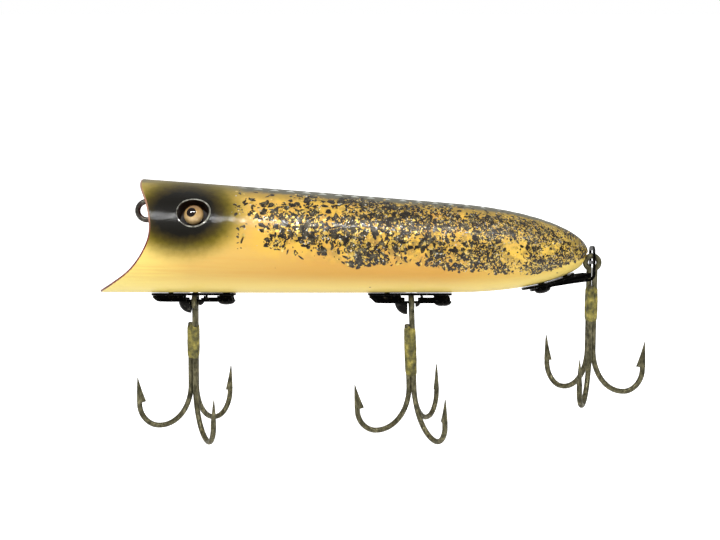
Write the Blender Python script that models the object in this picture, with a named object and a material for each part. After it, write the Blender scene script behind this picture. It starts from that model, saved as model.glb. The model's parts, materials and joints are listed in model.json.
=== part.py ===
"""Topwater popper: a turned wooden lure with a scooped mouth, bead eyes, three hook hangers and three treble hooks.

The origin is the centre of the line tie's ring, +X runs from the mouth to the tail and +Z is up. The body lies back
on its stand by BODY_LEAN about X, and the trebles hang plumb. Lengths are in millimetres and the body's pieces are
drawn upright: add_object() leans them, and turns each finished mesh into metres.
"""

from math import asin, atan, cos, pi, radians, sin, sqrt

import bmesh
import bpy
from mathutils import Matrix, Vector

MM = 0.001
GAP = 0.06  # between two pieces that touch
ROD_TURN = 0.1  # turns a rod about itself, so that none of its corners lies on the middle plane

# Body: a turned plug whose axis passes under the line tie and drops towards the tail
BODY_LEAN = radians(15)
AXIS_DROP = 5.12
AXIS_TILT = atan(0.0394)
LIP_X = -8.7
TAIL_X = 88.95
TAIL_ROUND = 28.6  # length of the rounded tail
BODY_SIDES = 36
FRONT_STATIONS = 11
TAIL_STATIONS = 12

# Mouth: the scoop's curve from the crown to the lower lip, as (x, height above the body's axis)
MOUTH = (
    (-1.1, 12.5), (-1.15, 11.3), (-0.6, 9.7), (0.3, 8.1), (1.2, 6.4), (2.0, 4.0), (2.4, 1.3), (2.2, -0.7),
    (1.5, -2.6), (0.45, -4.5), (-1.2, -6.6), (-2.9, -8.1), (-4.8, -9.4), (-6.5, -10.45), (-8.7, -11.6),
    (-11.0, -12.7),
)

# Eyes: a glass bead on a wire, in a round socket on each side of the head
EYE_X = 10.6
EYE_ANGLE = radians(25.6)  # above the level of the body's axis
SOCKET_RADIUS = 3.2
SOCKET_DEPTH = 3.05
SOCKET_CLEAR = 4.0  # how far the socket's cutter reaches past the skin
BEAD_RADIUS = 1.95
BEAD_HALF_HEIGHT = 1.6
BEAD_FLOOR = 0.85  # the bead is cut flat at this share of its half height
BEAD_SINK = 1.25  # from the skin to the bead's centre
GAZE = radians(14)  # the pupils look forward by this
PUPIL_RADIUS = 0.9
STEM_RADIUS = 0.35
STEM_LENGTH = 4.0

# Line tie: a screw eye in the mouth
TIE_WIRE = 0.55
TIE_RING = 1.85
TIE_SHANK_END = 14.0

# Hangers: sheet plates on the belly and the tail
SHEET = 0.45
PLATE_HALF_WIDTH = 1.95
PLATE_FORE = -8.8  # ends of the plate, from the hook's pivot
PLATE_AFT = 8.2
FRONT_HANGER = (9.75, -16.63, 1.5)  # the hook's pivot along X, the plate's top, and how far the pivot is below it
MID_HANGER = (53.3, -16.65, 1.8)
BRIDGE_HALF_WIDTH = 0.6
SCREW_FORE = -4.9
SCREW_AFT = 6.3
STOP_REACH = 2.5
CURB_REACH = 1.0
SCREW_RADIUS = 0.7
SCREW_LENGTH = 7.0
HEAD_RADIUS = 1.62
SMALL_HEAD_RADIUS = 1.2  # of the screws that lie between the plates
EARS = (("fore", -6.5, -2.1, 0.85), ("mid", 1.9, 2.3, 0.75), ("aft", 4.6, 7.3, 0.88))  # from, to, share of width
WINDOW = (0.9, 1.65)  # half the plate's window along X and Y, for the hook's eye
TAIL_PIVOT = (89.75, -10.45)
STRAP_CORNER_Z = -14.05
STRAP_TOP_Z = -7.1
TAIL_SCREW_X = 79.5
TAIL_PLATE_SCREW_X = 84.3
TAIL_HALF_WIDTH = 2.2
SLOT_HALF_WIDTH = 1.65

# Trebles: three hooks of round wire. Two are one wire, bent into the eye, and the third is brazed on
WIRE = 0.525
EYE_MEAN = 1.35
SHANK_PITCH = 0.575
TIP_DEPTH = 17.1  # below the eye's centre
BEND_DEPTH = 27.5
BEND_OUT = 7.05  # from the shank to the bottom of the bend
POINT_OUT = 3.85  # from there to the point
BEND_RISE = 9.6
POINT_RISE = 4.5
POINT_FLARE = 0.3
BARB_DEPTH = 5.3  # below the tip
BARB_OUT = 0.95
SINGLE_TOP = 4.6

LEANED = Matrix.Rotation(-BODY_LEAN, 4, "X")
BODY_FRAME = Matrix.Translation((0, 0, -AXIS_DROP)) @ Matrix.Rotation(AXIS_TILT, 4, "Y")
MATERIALS = {
    "lacquered_wood": ((0.62, 0.47, 0.20, 1), 0.25, 0.0),
    "tan_glass": ((0.50, 0.33, 0.16, 1), 0.08, 0.0),
    "black_glass": ((0.01, 0.01, 0.01, 1), 0.08, 0.0),
    "soft_steel_wire": ((0.30, 0.30, 0.30, 1), 0.45, 1.0),
    "blackened_nickel": ((0.08, 0.08, 0.08, 1), 0.35, 1.0),
    "aged_hook_steel": ((0.20, 0.19, 0.13, 1), 0.40, 1.0),
    "brass_braze": ((0.50, 0.42, 0.16, 1), 0.45, 1.0),
}


def material(name):
    if name in bpy.data.materials:
        return bpy.data.materials[name]
    colour, roughness, metallic = MATERIALS[name]
    made = bpy.data.materials.new(name)
    made.use_nodes = True
    shader = made.node_tree.nodes["Principled BSDF"]
    shader.inputs["Base Color"].default_value = colour
    shader.inputs["Roughness"].default_value = roughness
    shader.inputs["Metallic"].default_value = metallic
    return made


def add_object(name, bm, material_name, origin=(0, 0, 0), parent=None):
    """The mesh, drawn in the part's frame in millimetres, as an object in metres with its origin at a point."""
    origin = Vector(origin)
    if parent is None:
        bmesh.ops.transform(bm, matrix=LEANED, verts=bm.verts)
    bmesh.ops.recalc_face_normals(bm, faces=bm.faces)
    bmesh.ops.translate(bm, verts=bm.verts, vec=-origin)
    bmesh.ops.scale(bm, verts=bm.verts, vec=(MM, MM, MM))
    mesh = bpy.data.meshes.new(name)
    bm.to_mesh(mesh)
    bm.free()
    mesh.shade_smooth()
    mesh.set_sharp_from_angle(angle=radians(35))
    mesh.materials.append(material(material_name))
    obj = bpy.data.objects.new(name, mesh)
    bpy.context.scene.collection.objects.link(obj)
    obj.parent = parent
    if parent is None:
        obj.location = origin * MM
    return obj


def shape_with(obj, operation, bm, name):
    """Cuts a hidden helper shape out of the object, or joins it on."""
    helper = add_object(name, bm, "blackened_nickel")
    helper.hide_render = True
    helper.display_type = "WIRE"
    boolean = obj.modifiers.new(name, "BOOLEAN")
    boolean.operation = operation
    boolean.object = helper
    return helper


def body_radius(x):
    taper = 11.4 - 0.0335 * x - 0.00009 * x * x
    along = (x - TAIL_X + TAIL_ROUND) / TAIL_ROUND
    return taper * sqrt(max(0, 1 - max(0, along) ** 2.45))


def belly(x):
    """Height of the body's underside on its middle line."""
    return (BODY_FRAME @ Vector((x, 0, -body_radius(x)))).z


def turned(profile, frame, sides):
    """A closed turned shape from (radius, height) points, lowest first, about the frame's Z axis."""
    bm = bmesh.new()
    verts = [bm.verts.new((radius, 0, height)) for radius, height in profile]
    edges = [bm.edges.new(pair) for pair in zip(verts, verts[1:])]
    bmesh.ops.spin(
        bm, geom=verts + edges, cent=(0, 0, 0), axis=(0, 0, 1), angle=2 * pi, steps=sides, use_merge=True
    )
    bmesh.ops.remove_doubles(bm, verts=bm.verts, dist=1e-4)
    bmesh.ops.transform(bm, matrix=frame, verts=bm.verts)
    return bm


def rod(radius, start, end, sides=12):
    """A plain cylinder from one point to another."""
    start = Vector(start)
    along = Vector(end) - start
    turn = along.to_track_quat("Z", "Y").to_matrix().to_4x4() @ Matrix.Rotation(ROD_TURN, 4, "Z")
    frame = Matrix.Translation(start) @ turn
    return turned([(0, 0), (radius, 0), (radius, along.length), (0, along.length)], frame, sides)


def block(low, high):
    bm = bmesh.new()
    bmesh.ops.create_cube(bm, size=1)
    low, high = Vector(low), Vector(high)
    bmesh.ops.scale(bm, verts=bm.verts, vec=high - low)
    bmesh.ops.translate(bm, verts=bm.verts, vec=(low + high) / 2)
    return bm


def prism(outline, half_width):
    """An (x, z) outline extruded to both sides of the middle plane."""
    bm = bmesh.new()
    face = bm.faces.new([bm.verts.new((x, -half_width, z)) for x, z in outline])
    made = bmesh.ops.extrude_face_region(bm, geom=[face])
    moved = [item for item in made["geom"] if isinstance(item, bmesh.types.BMVert)]
    bmesh.ops.translate(bm, verts=moved, vec=(0, 2 * half_width, 0))
    return bm


def ribbon(stations, thickness):
    """A bent strip of sheet from (x, middle z, half width) stations."""
    bm = bmesh.new()
    rings = []
    for i, (x, z, half_width) in enumerate(stations):
        before = stations[max(i - 1, 0)]
        after = stations[min(i + 1, len(stations) - 1)]
        along = Vector((after[0] - before[0], 0, after[1] - before[1])).normalized()
        up = Vector((-along.z, 0, along.x)) * (thickness / 2)
        centre = Vector((x, 0, z))
        side = Vector((0, half_width, 0))
        corners = (centre + up - side, centre + up + side, centre - up + side, centre - up - side)
        rings.append([bm.verts.new(corner) for corner in corners])
    skin(bm, rings)
    return bm


def skin(bm, rings):
    """Walls between the rings, and a cap on each end."""
    for one, other in zip(rings, rings[1:]):
        count = len(one)
        for i in range(count):
            j = (i + 1) % count
            bm.faces.new((one[i], one[j], other[j], other[i]))
    bm.faces.new(rings[0])
    bm.faces.new(rings[-1])


def wire(stations, sides=8):
    """A round wire along (point, radius, push) stations. A push moves the side it points to outwards, as a barb."""
    bm = bmesh.new()
    rings = []
    side = Vector((0.3, 1, 0.2))
    for i, (point, radius, push) in enumerate(stations):
        after = stations[min(i + 1, len(stations) - 1)][0]
        before = stations[max(i - 1, 0)][0]
        along = (after - before).normalized()
        side = (side - along * side.dot(along)).normalized()
        up = along.cross(side)
        ring = []
        for k in range(sides):
            angle = 2 * pi * k / sides
            away = side * cos(angle) + up * sin(angle)
            share = max(0.0, away.dot(push.normalized())) ** 3 if push.length else 0
            ring.append(bm.verts.new(point + away * radius + push * share))
        rings.append(ring)
    skin(bm, rings)
    return bm


# ---- body ----


def body_profile():
    """(radius, x) points from the head's face to the end of the tail."""
    round_start = TAIL_X - TAIL_ROUND
    points = [(0, LIP_X)]
    for i in range(FRONT_STATIONS):
        x = LIP_X + (round_start - LIP_X) * i / FRONT_STATIONS
        points.append((body_radius(x), x))
    for i in range(TAIL_STATIONS):
        x = round_start + TAIL_ROUND * sin(pi / 2 * i / TAIL_STATIONS)
        points.append((body_radius(x), x))
    points.append((0, TAIL_X))
    return points


def scoop_outline():
    """The mouth's cut in the body's own frame."""
    return [*MOUTH, (-30, -16), (-30, 20)]


def eye_frame(side):
    """Z runs out of the head through the eye, from the body's surface. side is 1 on +Y and -1 on -Y."""
    radius = body_radius(EYE_X)
    out = Vector((0, side * cos(EYE_ANGLE), sin(EYE_ANGLE)))
    turn = out.to_track_quat("Z", "X").to_matrix().to_4x4()
    return BODY_FRAME @ Matrix.Translation(Vector((EYE_X, 0, 0)) + out * radius) @ turn


def bead_frame(side):
    """Z runs out of the bead's centre through its pupil, which looks forward of the socket's own line."""
    gaze = Matrix.Rotation(GAZE, 4, eye_frame(side).to_3x3().inverted() @ Vector((0, 0, side)))
    return eye_frame(side) @ Matrix.Translation((0, 0, -BEAD_SINK)) @ gaze


def make_body():
    # The profile's Z turned to the body's X, with a flat and not a corner at the bottom
    along = Matrix.Rotation(pi / 2, 4, "Y") @ Matrix.Rotation(pi / BODY_SIDES, 4, "Z")
    body = add_object("body", turned(body_profile(), BODY_FRAME @ along, BODY_SIDES), "lacquered_wood")
    scoop = prism(scoop_outline(), 16)
    bmesh.ops.transform(scoop, matrix=BODY_FRAME, verts=scoop.verts)
    shape_with(body, "DIFFERENCE", scoop, "mouth_cutter")
    for side, name in ((-1, "left"), (1, "right")):
        frame = eye_frame(side)
        mouth = frame @ Vector((0, 0, SOCKET_CLEAR))
        socket = rod(SOCKET_RADIUS, frame @ Vector((0, 0, -SOCKET_DEPTH)), mouth, 24)
        shape_with(body, "DIFFERENCE", socket, f"{name}_socket_cutter")
        sunk = bead_frame(side)
        depth = BEAD_FLOOR * BEAD_HALF_HEIGHT + STEM_LENGTH + 0.5
        hole = rod(STEM_RADIUS + 0.1, sunk @ Vector((0, 0, -depth)), sunk @ Vector((0, 0, -1)), 8)
        shape_with(body, "DIFFERENCE", hole, f"{name}_stem_cutter")
    shape_with(body, "DIFFERENCE", rod(TIE_WIRE + 0.12, (0, 0, 0), (TIE_SHANK_END + 0.5, 0, 0), 10), "tie_cutter")
    pocket = rod(TIE_RING + TIE_WIRE + 0.15, (0, -0.7, 0), (0, 0.7, 0), 20)
    shape_with(body, "DIFFERENCE", pocket, "tie_pocket_cutter")
    for name, (pivot_x, top, drop) in (("front", FRONT_HANGER), ("mid", MID_HANGER)):
        for place, offset in (("fore", SCREW_FORE), ("aft", SCREW_AFT)):
            x = pivot_x + offset
            hole = rod(SCREW_RADIUS + 0.1, (x, 0, top - 1), (x, 0, top + SCREW_LENGTH + 0.3), 10)
            shape_with(body, "DIFFERENCE", hole, f"{name}_{place}_cutter")
        pivot_z = top - drop
        recess = rod(EYE_MEAN + WIRE + 0.35, (pivot_x - 1.2, 0, pivot_z), (pivot_x + 1.2, 0, pivot_z), 20)
        shape_with(body, "DIFFERENCE", recess, f"{name}_eye_cutter")
    for name, x in (("strap", TAIL_SCREW_X), ("plate", TAIL_PLATE_SCREW_X)):
        base, normal = tail_seat(x)
        hole = rod(SCREW_RADIUS + 0.1, base + normal, base - normal * (SCREW_LENGTH - 0.3), 10)
        shape_with(body, "DIFFERENCE", hole, f"tail_{name}_cutter")
    x, z = TAIL_PIVOT
    recess = rod(EYE_MEAN + WIRE + 0.4, (x, -1.7, z), (x, 1.7, z), 20)
    shape_with(body, "DIFFERENCE", recess, "tail_eye_cutter")
    for boolean in body.modifiers:
        boolean.solver = "MANIFOLD"  # this many small holes in a row leave open edges under EXACT


# ---- eyes and line tie ----


def make_eye(side, name):
    """Bead, pupil and stem, drawn about the bead's centre with Z out of the head."""
    frame = bead_frame(side)
    well = 0.7 * BEAD_HALF_HEIGHT
    rim = PUPIL_RADIUS + GAP
    floor = -BEAD_FLOOR * BEAD_HALF_HEIGHT

    def dome(radius):
        return BEAD_HALF_HEIGHT * sqrt(1 - (radius / BEAD_RADIUS) ** 2)

    profile = [(0, floor)]
    steps = 8
    for i in range(steps + 1):
        start = asin(-BEAD_FLOOR)
        angle = start + (asin(dome(rim) / BEAD_HALF_HEIGHT) - start) * i / steps
        profile.append((BEAD_RADIUS * cos(angle), BEAD_HALF_HEIGHT * sin(angle)))
    profile += [(rim, well), (0, well)]
    add_object(f"{name}_eye_bead", turned(profile, frame, 20), "tan_glass")
    low = well + GAP
    pupil = [(0, low), (PUPIL_RADIUS, low)]
    pupil += [(PUPIL_RADIUS * share, dome(PUPIL_RADIUS * share)) for share in (1, 0.7, 0.35, 0)]
    add_object(f"{name}_eye_pupil", turned(pupil, frame, 16), "black_glass")
    top = floor - GAP
    stem = [(0, top - STEM_LENGTH), (STEM_RADIUS, top - STEM_LENGTH), (STEM_RADIUS, top), (0, top)]
    add_object(f"{name}_eye_stem", turned(stem, frame, 8), "soft_steel_wire")


def make_line_tie():
    """The ring starts under the shank, runs right round and stops short of it."""
    none = Vector()
    stations = [
        (Vector((TIE_SHANK_END, 0, 0)), 0.15, none),
        (Vector((TIE_SHANK_END - 2.5, 0, 0)), TIE_WIRE, none),
        (Vector((TIE_RING + 1.2, 0, 0)), TIE_WIRE, none),
        (Vector((TIE_RING + 0.6, 0, -0.08)), TIE_WIRE, none),
    ]
    start, end, steps = radians(-13), radians(-327), 20
    for i in range(steps + 1):
        angle = start + (end - start) * i / steps
        stations.append((Vector((TIE_RING * cos(angle), 0, TIE_RING * sin(angle))), TIE_WIRE, none))
    add_object("line_tie", wire(stations), "soft_steel_wire")


# ---- hangers ----


def make_screw(name, seat, inward, head_radius, head_height):
    """A slotted round-head screw. seat is where its head bears, and inward points into the wood."""
    turn = inward.to_track_quat("Z", "Y").to_matrix().to_4x4()
    frame = Matrix.Translation(seat) @ turn
    steps = 4
    profile = []
    for i in range(steps + 1):
        angle = pi / 2 * (1 - i / steps)
        profile.append((head_radius * cos(angle), -head_height * sin(angle)))
    profile[0] = (0, -head_height)
    profile += [(SCREW_RADIUS, 0), (SCREW_RADIUS, SCREW_LENGTH - 1.8), (0, SCREW_LENGTH)]
    screw = add_object(name, turned(profile, frame, 12), "blackened_nickel")
    slot = block((-0.2, -2, -head_height - 1), (0.2, 2, -0.45 * head_height))
    bmesh.ops.transform(slot, matrix=frame @ Matrix.Rotation(radians(35), 4, "Z"), verts=slot.verts)
    shape_with(screw, "DIFFERENCE", slot, f"{name}_slot_cutter")


def hook_stop(centre, reach, half_width, direction):
    """A thin quarter dome that hangs under the bar and stops the hook from swinging past it."""
    wall = 0.4
    bm = bmesh.new()
    across, down = 8, 5
    shells = []
    for inset in (0, wall):
        rows = []
        for i in range(down + 1):
            turn = pi / 2 * i / down
            row = []
            for k in range(1, across):
                angle = pi * k / across
                out = (reach - inset) * sin(angle)
                y = (half_width - inset) * cos(angle)
                offset = Vector((direction * out * cos(turn), y, -out * sin(turn)))
                row.append(bm.verts.new(Vector(centre) + offset))
            rows.append(row)
        poles = [bm.verts.new(Vector(centre) + Vector((0, s * (half_width - inset), 0))) for s in (1, -1)]
        shells.append((rows, poles))
        for i in range(down):
            for k in range(across - 2):
                bm.faces.new((rows[i][k], rows[i][k + 1], rows[i + 1][k + 1], rows[i + 1][k]))
            bm.faces.new((poles[0], rows[i][0], rows[i + 1][0]))
            bm.faces.new((poles[1], rows[i + 1][-1], rows[i][-1]))
    (outer, outer_poles), (inner, inner_poles) = shells
    for i in (0, down):
        one = [outer_poles[0], *outer[i], outer_poles[1]]
        other = [inner_poles[0], *inner[i], inner_poles[1]]
        for k in range(len(one) - 1):
            bm.faces.new((one[k], one[k + 1], other[k + 1], other[k]))
    return bm


def make_belly_hanger(name, pivot_x, top, drop):
    """The plate lies on the belly. The bar hooks into its fore end and hangs under it, and the aft screw holds both."""
    plate_z = top - SHEET / 2
    end_z = plate_z - SHEET - GAP
    bar_z = top - drop
    half = PLATE_HALF_WIDTH
    outline = ((PLATE_FORE, half * 0.6), (PLATE_FORE + 0.8, half), (PLATE_AFT - 0.8, half), (PLATE_AFT, half * 0.6))
    stations = [(pivot_x + x, plate_z, width) for x, width in outline]
    plate = add_object(f"{name}_hanger_plate", ribbon(stations, SHEET), "blackened_nickel")
    fore_aft, sideways = WINDOW
    window = block((pivot_x - fore_aft, -sideways, top - 1), (pivot_x + fore_aft, sideways, top + 1))
    shape_with(plate, "DIFFERENCE", window, f"{name}_window_cutter")

    wide = half - 0.1
    narrow = BRIDGE_HALF_WIDTH
    outline = (
        (PLATE_FORE + 0.3, end_z, wide * 0.6),
        (PLATE_FORE + 0.9, end_z, wide),
        (-6.9, bar_z, wide),
        (-2.0, bar_z, wide * 0.9),
        (-1.15, bar_z, narrow),
        (1.15, bar_z, narrow),
        (1.8, bar_z, wide * 0.9),
        (PLATE_AFT - 0.8, bar_z, wide),
        (PLATE_AFT - 0.1, bar_z, wide * 0.6),
    )
    stations = [(pivot_x + x, z, width) for x, z, width in outline]
    bar = add_object(f"{name}_hanger_bar", ribbon(stations, SHEET), "blackened_nickel")
    ear_top = plate_z - SHEET / 2 - GAP
    for side in (-1, 1):
        for place, fore, aft, share in EARS:
            y = side * wide * share
            ear = block((pivot_x + fore, y - 0.16, bar_z - 0.1), (pivot_x + aft, y + 0.16, ear_top))
            shape_with(bar, "UNION", ear, f"{name}_{place}_ear_{side}")
    stop = hook_stop((pivot_x - 0.85, 0, bar_z), STOP_REACH, 1.7, -1)
    shape_with(bar, "UNION", stop, f"{name}_stop_helper")
    curb = hook_stop((pivot_x + 0.85, 0, bar_z), CURB_REACH, 1.2, 1)
    shape_with(bar, "UNION", curb, f"{name}_curb_helper")
    for place, offset, pieces in (("fore", SCREW_FORE, (plate,)), ("aft", SCREW_AFT, (plate, bar))):
        x = pivot_x + offset
        for obj in pieces:
            hole = rod(SCREW_RADIUS + 0.1, (x, 0, top - 3), (x, 0, top + 1))
            shape_with(obj, "DIFFERENCE", hole, f"{obj.name}_{place}_cutter")
    fore_seat = Vector((pivot_x + SCREW_FORE, 0, ear_top))
    make_screw(f"{name}_hanger_screw_fore", fore_seat, Vector((0, 0, 1)), SMALL_HEAD_RADIUS, 0.45)
    aft_seat = Vector((pivot_x + SCREW_AFT, 0, bar_z - SHEET / 2 - GAP))
    make_screw(f"{name}_hanger_screw_aft", aft_seat, Vector((0, 0, 1)), HEAD_RADIUS, 0.6)


def tail_seat(x):
    """Point and outward normal on the underside of the tail's middle line."""
    step = 0.5
    slope = (belly(x + step) - belly(x - step)) / (2 * step)
    return Vector((x, 0, belly(x))), Vector((slope, 0, -1)).normalized()


def make_tail_hanger():
    half = TAIL_HALF_WIDTH
    stations = []
    for x in (75.5, 76.2, 78.3, 80.3, 82.3, 84.3, 85.9):
        base, normal = tail_seat(x)
        middle = base + normal * (SHEET / 2 + GAP + 0.03)
        stations.append((middle.x, middle.z, half if stations else half * 0.6))
    plate = add_object("tail_hanger_plate", ribbon(stations, SHEET), "blackened_nickel")

    pivot_x, pivot_z = TAIL_PIVOT
    stations = []
    for x, width in ((77.1, half * 0.6), (77.7, half * 0.95), (79.5, half), (81.3, half)):
        base, normal = tail_seat(x)
        middle = base + normal * (1.5 * SHEET + 2 * GAP + 0.1)
        stations.append((middle.x, middle.z, width))
    corner = 1.3
    corner_x, corner_z = pivot_x - corner, STRAP_CORNER_Z + corner
    stations.append((84.8, STRAP_CORNER_Z - 0.5, half))
    for i in range(6):
        angle = -pi / 2 + pi / 2 * i / 5
        stations.append((corner_x + corner * cos(angle), corner_z + corner * sin(angle), half))
    for z, width in ((pivot_z, half), (STRAP_TOP_Z - 0.6, half), (STRAP_TOP_Z, half * 0.65)):
        stations.append((pivot_x, z, width))
    strap = add_object("tail_hanger_strap", ribbon(stations, SHEET), "blackened_nickel")
    slot = SLOT_HALF_WIDTH
    lower = block((pivot_x - 1.9, -slot, -16), (pivot_x + 1, slot, pivot_z - 0.32))
    shape_with(strap, "DIFFERENCE", lower, "strap_slot_cutter")
    upper = block((pivot_x - 1, -slot, pivot_z + 0.32), (pivot_x + 1, slot, STRAP_TOP_Z - 0.7))
    shape_with(strap, "DIFFERENCE", upper, "strap_window_cutter")

    # The aft screw holds the plate alone, and its head lies in a driver hole in the strap
    close = SCREW_RADIUS + 0.1
    for name, x, lift, strap_hole, head in (
        ("fore", TAIL_SCREW_X, 2 * SHEET + 0.32, close, (HEAD_RADIUS, 0.8)),
        ("aft", TAIL_PLATE_SCREW_X, SHEET + 0.16, SMALL_HEAD_RADIUS + 0.15, (SMALL_HEAD_RADIUS, 0.4)),
    ):
        base, normal = tail_seat(x)
        for obj, radius in ((plate, close), (strap, strap_hole)):
            hole = rod(radius, base + normal * 3.0, base - normal * 1.0)
            shape_with(obj, "DIFFERENCE", hole, f"{obj.name}_{name}_cutter")
        make_screw(f"tail_hanger_screw_{name}", base + normal * lift, -normal, *head)


# ---- trebles ----


def hook_stations(out, shank_top):
    """(point, radius, push) of one hook from its tip to the top of its shank, about the top of the shank's line."""
    inward = -out * BARB_OUT
    leg_foot = BEND_DEPTH - POINT_RISE
    reach = BEND_OUT + POINT_OUT

    def at(offset, depth, radius=WIRE, push=0.0):
        return out * offset + Vector((0, 0, -depth)), radius, inward * push

    stations = []
    for share in (0, 0.2, 0.5, 0.8, 1):
        depth = TIP_DEPTH + BARB_DEPTH * share
        offset = reach + POINT_FLARE * (leg_foot - depth) / (leg_foot - TIP_DEPTH)
        stations.append(at(offset, depth, 0.08 + (WIRE - 0.08) * share**0.8, share**1.5))
    steps = 6
    for i in range(1, steps + 1):
        angle = pi / 2 * i / steps
        stations.append(at(BEND_OUT + POINT_OUT * cos(angle), leg_foot + POINT_RISE * sin(angle)))
    steps = 8
    for i in range(1, steps + 1):
        angle = pi / 2 * i / steps
        stations.append(at(BEND_OUT * (1 - sin(angle)), BEND_DEPTH - BEND_RISE * (1 - cos(angle))))
    stations.append(at(0, shank_top))
    return stations


def compass(angle):
    """A level direction, from +X round towards -Y."""
    return Vector((cos(angle), -sin(angle), 0))


def moved(stations, by):
    return [(point + by, radius, push) for point, radius, push in stations]


def braze_collar(side, out, top, bottom):
    """A collar of braze metal with a swollen middle, round the three shanks."""
    corners = ((side * SHANK_PITCH, 0), (side * -SHANK_PITCH, 0), (out * sqrt(3) * SHANK_PITCH, 0))
    centre = sum((corner for corner, _ in corners), Vector()) / 3
    bm = bmesh.new()

    def outline(grow, depth):
        ring = []
        for corner, _ in corners:
            away = (corner - centre).normalized()
            across = Vector((-away.y, away.x, 0))
            for turn in (-60, -30, 0, 30, 60):
                angle = radians(turn)
                ring.append(corner + (away * cos(angle) + across * sin(angle)) * grow)
        ring.sort(key=lambda p: Vector((side.dot(p - centre), out.dot(p - centre))).angle_signed(Vector((1, 0))))
        return [bm.verts.new(point + Vector((0, 0, -depth))) for point in ring]

    inner = WIRE + GAP
    rings = [outline(inner, bottom)]
    steps = 5
    for i in range(steps + 1):
        share = i / steps
        grow = inner + 0.05 + 0.12 * sin(pi * (0.1 + 0.8 * share))
        rings.append(outline(grow, bottom + (top - bottom) * share))
    rings.append(outline(inner, top))
    for one, other in zip(rings, rings[1:] + rings[:1]):
        for i in range(len(one)):
            j = (i + 1) % len(one)
            bm.faces.new((one[i], one[j], other[j], other[i]))
    return bm


def make_treble(name, pivot, azimuth, lean, sway, braze):
    """The three hooks of one treble, parented to an empty on the hinge axis. It leans along X and sways along Y."""
    empty = bpy.data.objects.new(f"{name}_treble_pivot", None)
    bpy.context.scene.collection.objects.link(empty)
    empty.location = Vector(pivot) * MM
    side = compass(azimuth - pi / 2)
    out = compass(azimuth)
    frame = Matrix.Translation(pivot) @ Matrix.Rotation(-lean, 4, "Y") @ Matrix.Rotation(sway, 4, "X")

    mouth = asin(SHANK_PITCH / EYE_MEAN)
    shank_top = EYE_MEAN * cos(mouth) + 0.5
    one = moved(hook_stations(compass(azimuth - radians(120)), shank_top), side * SHANK_PITCH)
    other = moved(hook_stations(compass(azimuth + radians(120)), shank_top), side * -SHANK_PITCH)
    ring = []
    steps = 18
    for i in range(steps + 1):
        angle = -pi / 2 + mouth + (2 * pi - 2 * mouth) * i / steps
        point = side * (EYE_MEAN * cos(angle)) + Vector((0, 0, EYE_MEAN * sin(angle)))
        ring.append((point, WIRE, Vector()))
    single = moved(hook_stations(out, SINGLE_TOP), out * sqrt(3) * SHANK_PITCH)
    for piece, mesh, material_name in (
        ("pair", wire(one + ring + other[::-1]), "aged_hook_steel"),
        ("single", wire(single), "aged_hook_steel"),
        ("braze", braze_collar(side, out, *braze), "brass_braze"),
    ):
        bmesh.ops.transform(mesh, matrix=frame, verts=mesh.verts)
        add_object(f"{name}_treble_{piece}", mesh, material_name, pivot, empty)


def main():
    for obj in list(bpy.data.objects):
        bpy.data.objects.remove(obj)
    make_body()
    make_eye(-1, "left")
    make_eye(1, "right")
    make_line_tie()
    make_belly_hanger("front", *FRONT_HANGER)
    make_belly_hanger("mid", *MID_HANGER)
    make_tail_hanger()
    for name, (x, top, drop), azimuth, lean, braze in (
        ("front", FRONT_HANGER, 183, -1.8, (4.9, 12.2)),
        ("mid", MID_HANGER, 179, 2.3, (4.9, 15.8)),
    ):
        make_treble(name, LEANED @ Vector((x, 0, top - drop)), radians(azimuth), radians(lean), 0, braze)
    tail_pivot = LEANED @ Vector((TAIL_PIVOT[0], 0, TAIL_PIVOT[1]))
    make_treble("tail", tail_pivot, radians(111), radians(1.0), radians(-4), (4.9, 12.2))


main()
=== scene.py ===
"""Topwater popper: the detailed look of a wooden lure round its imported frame, built by Blender operators."""

import json
from math import asin, atan, cos, pi, radians, sin, sqrt

import bmesh
import bpy
from bpy.props import FloatProperty, FloatVectorProperty, IntProperty, PointerProperty
from mathutils import Matrix, Vector, noise

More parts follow.
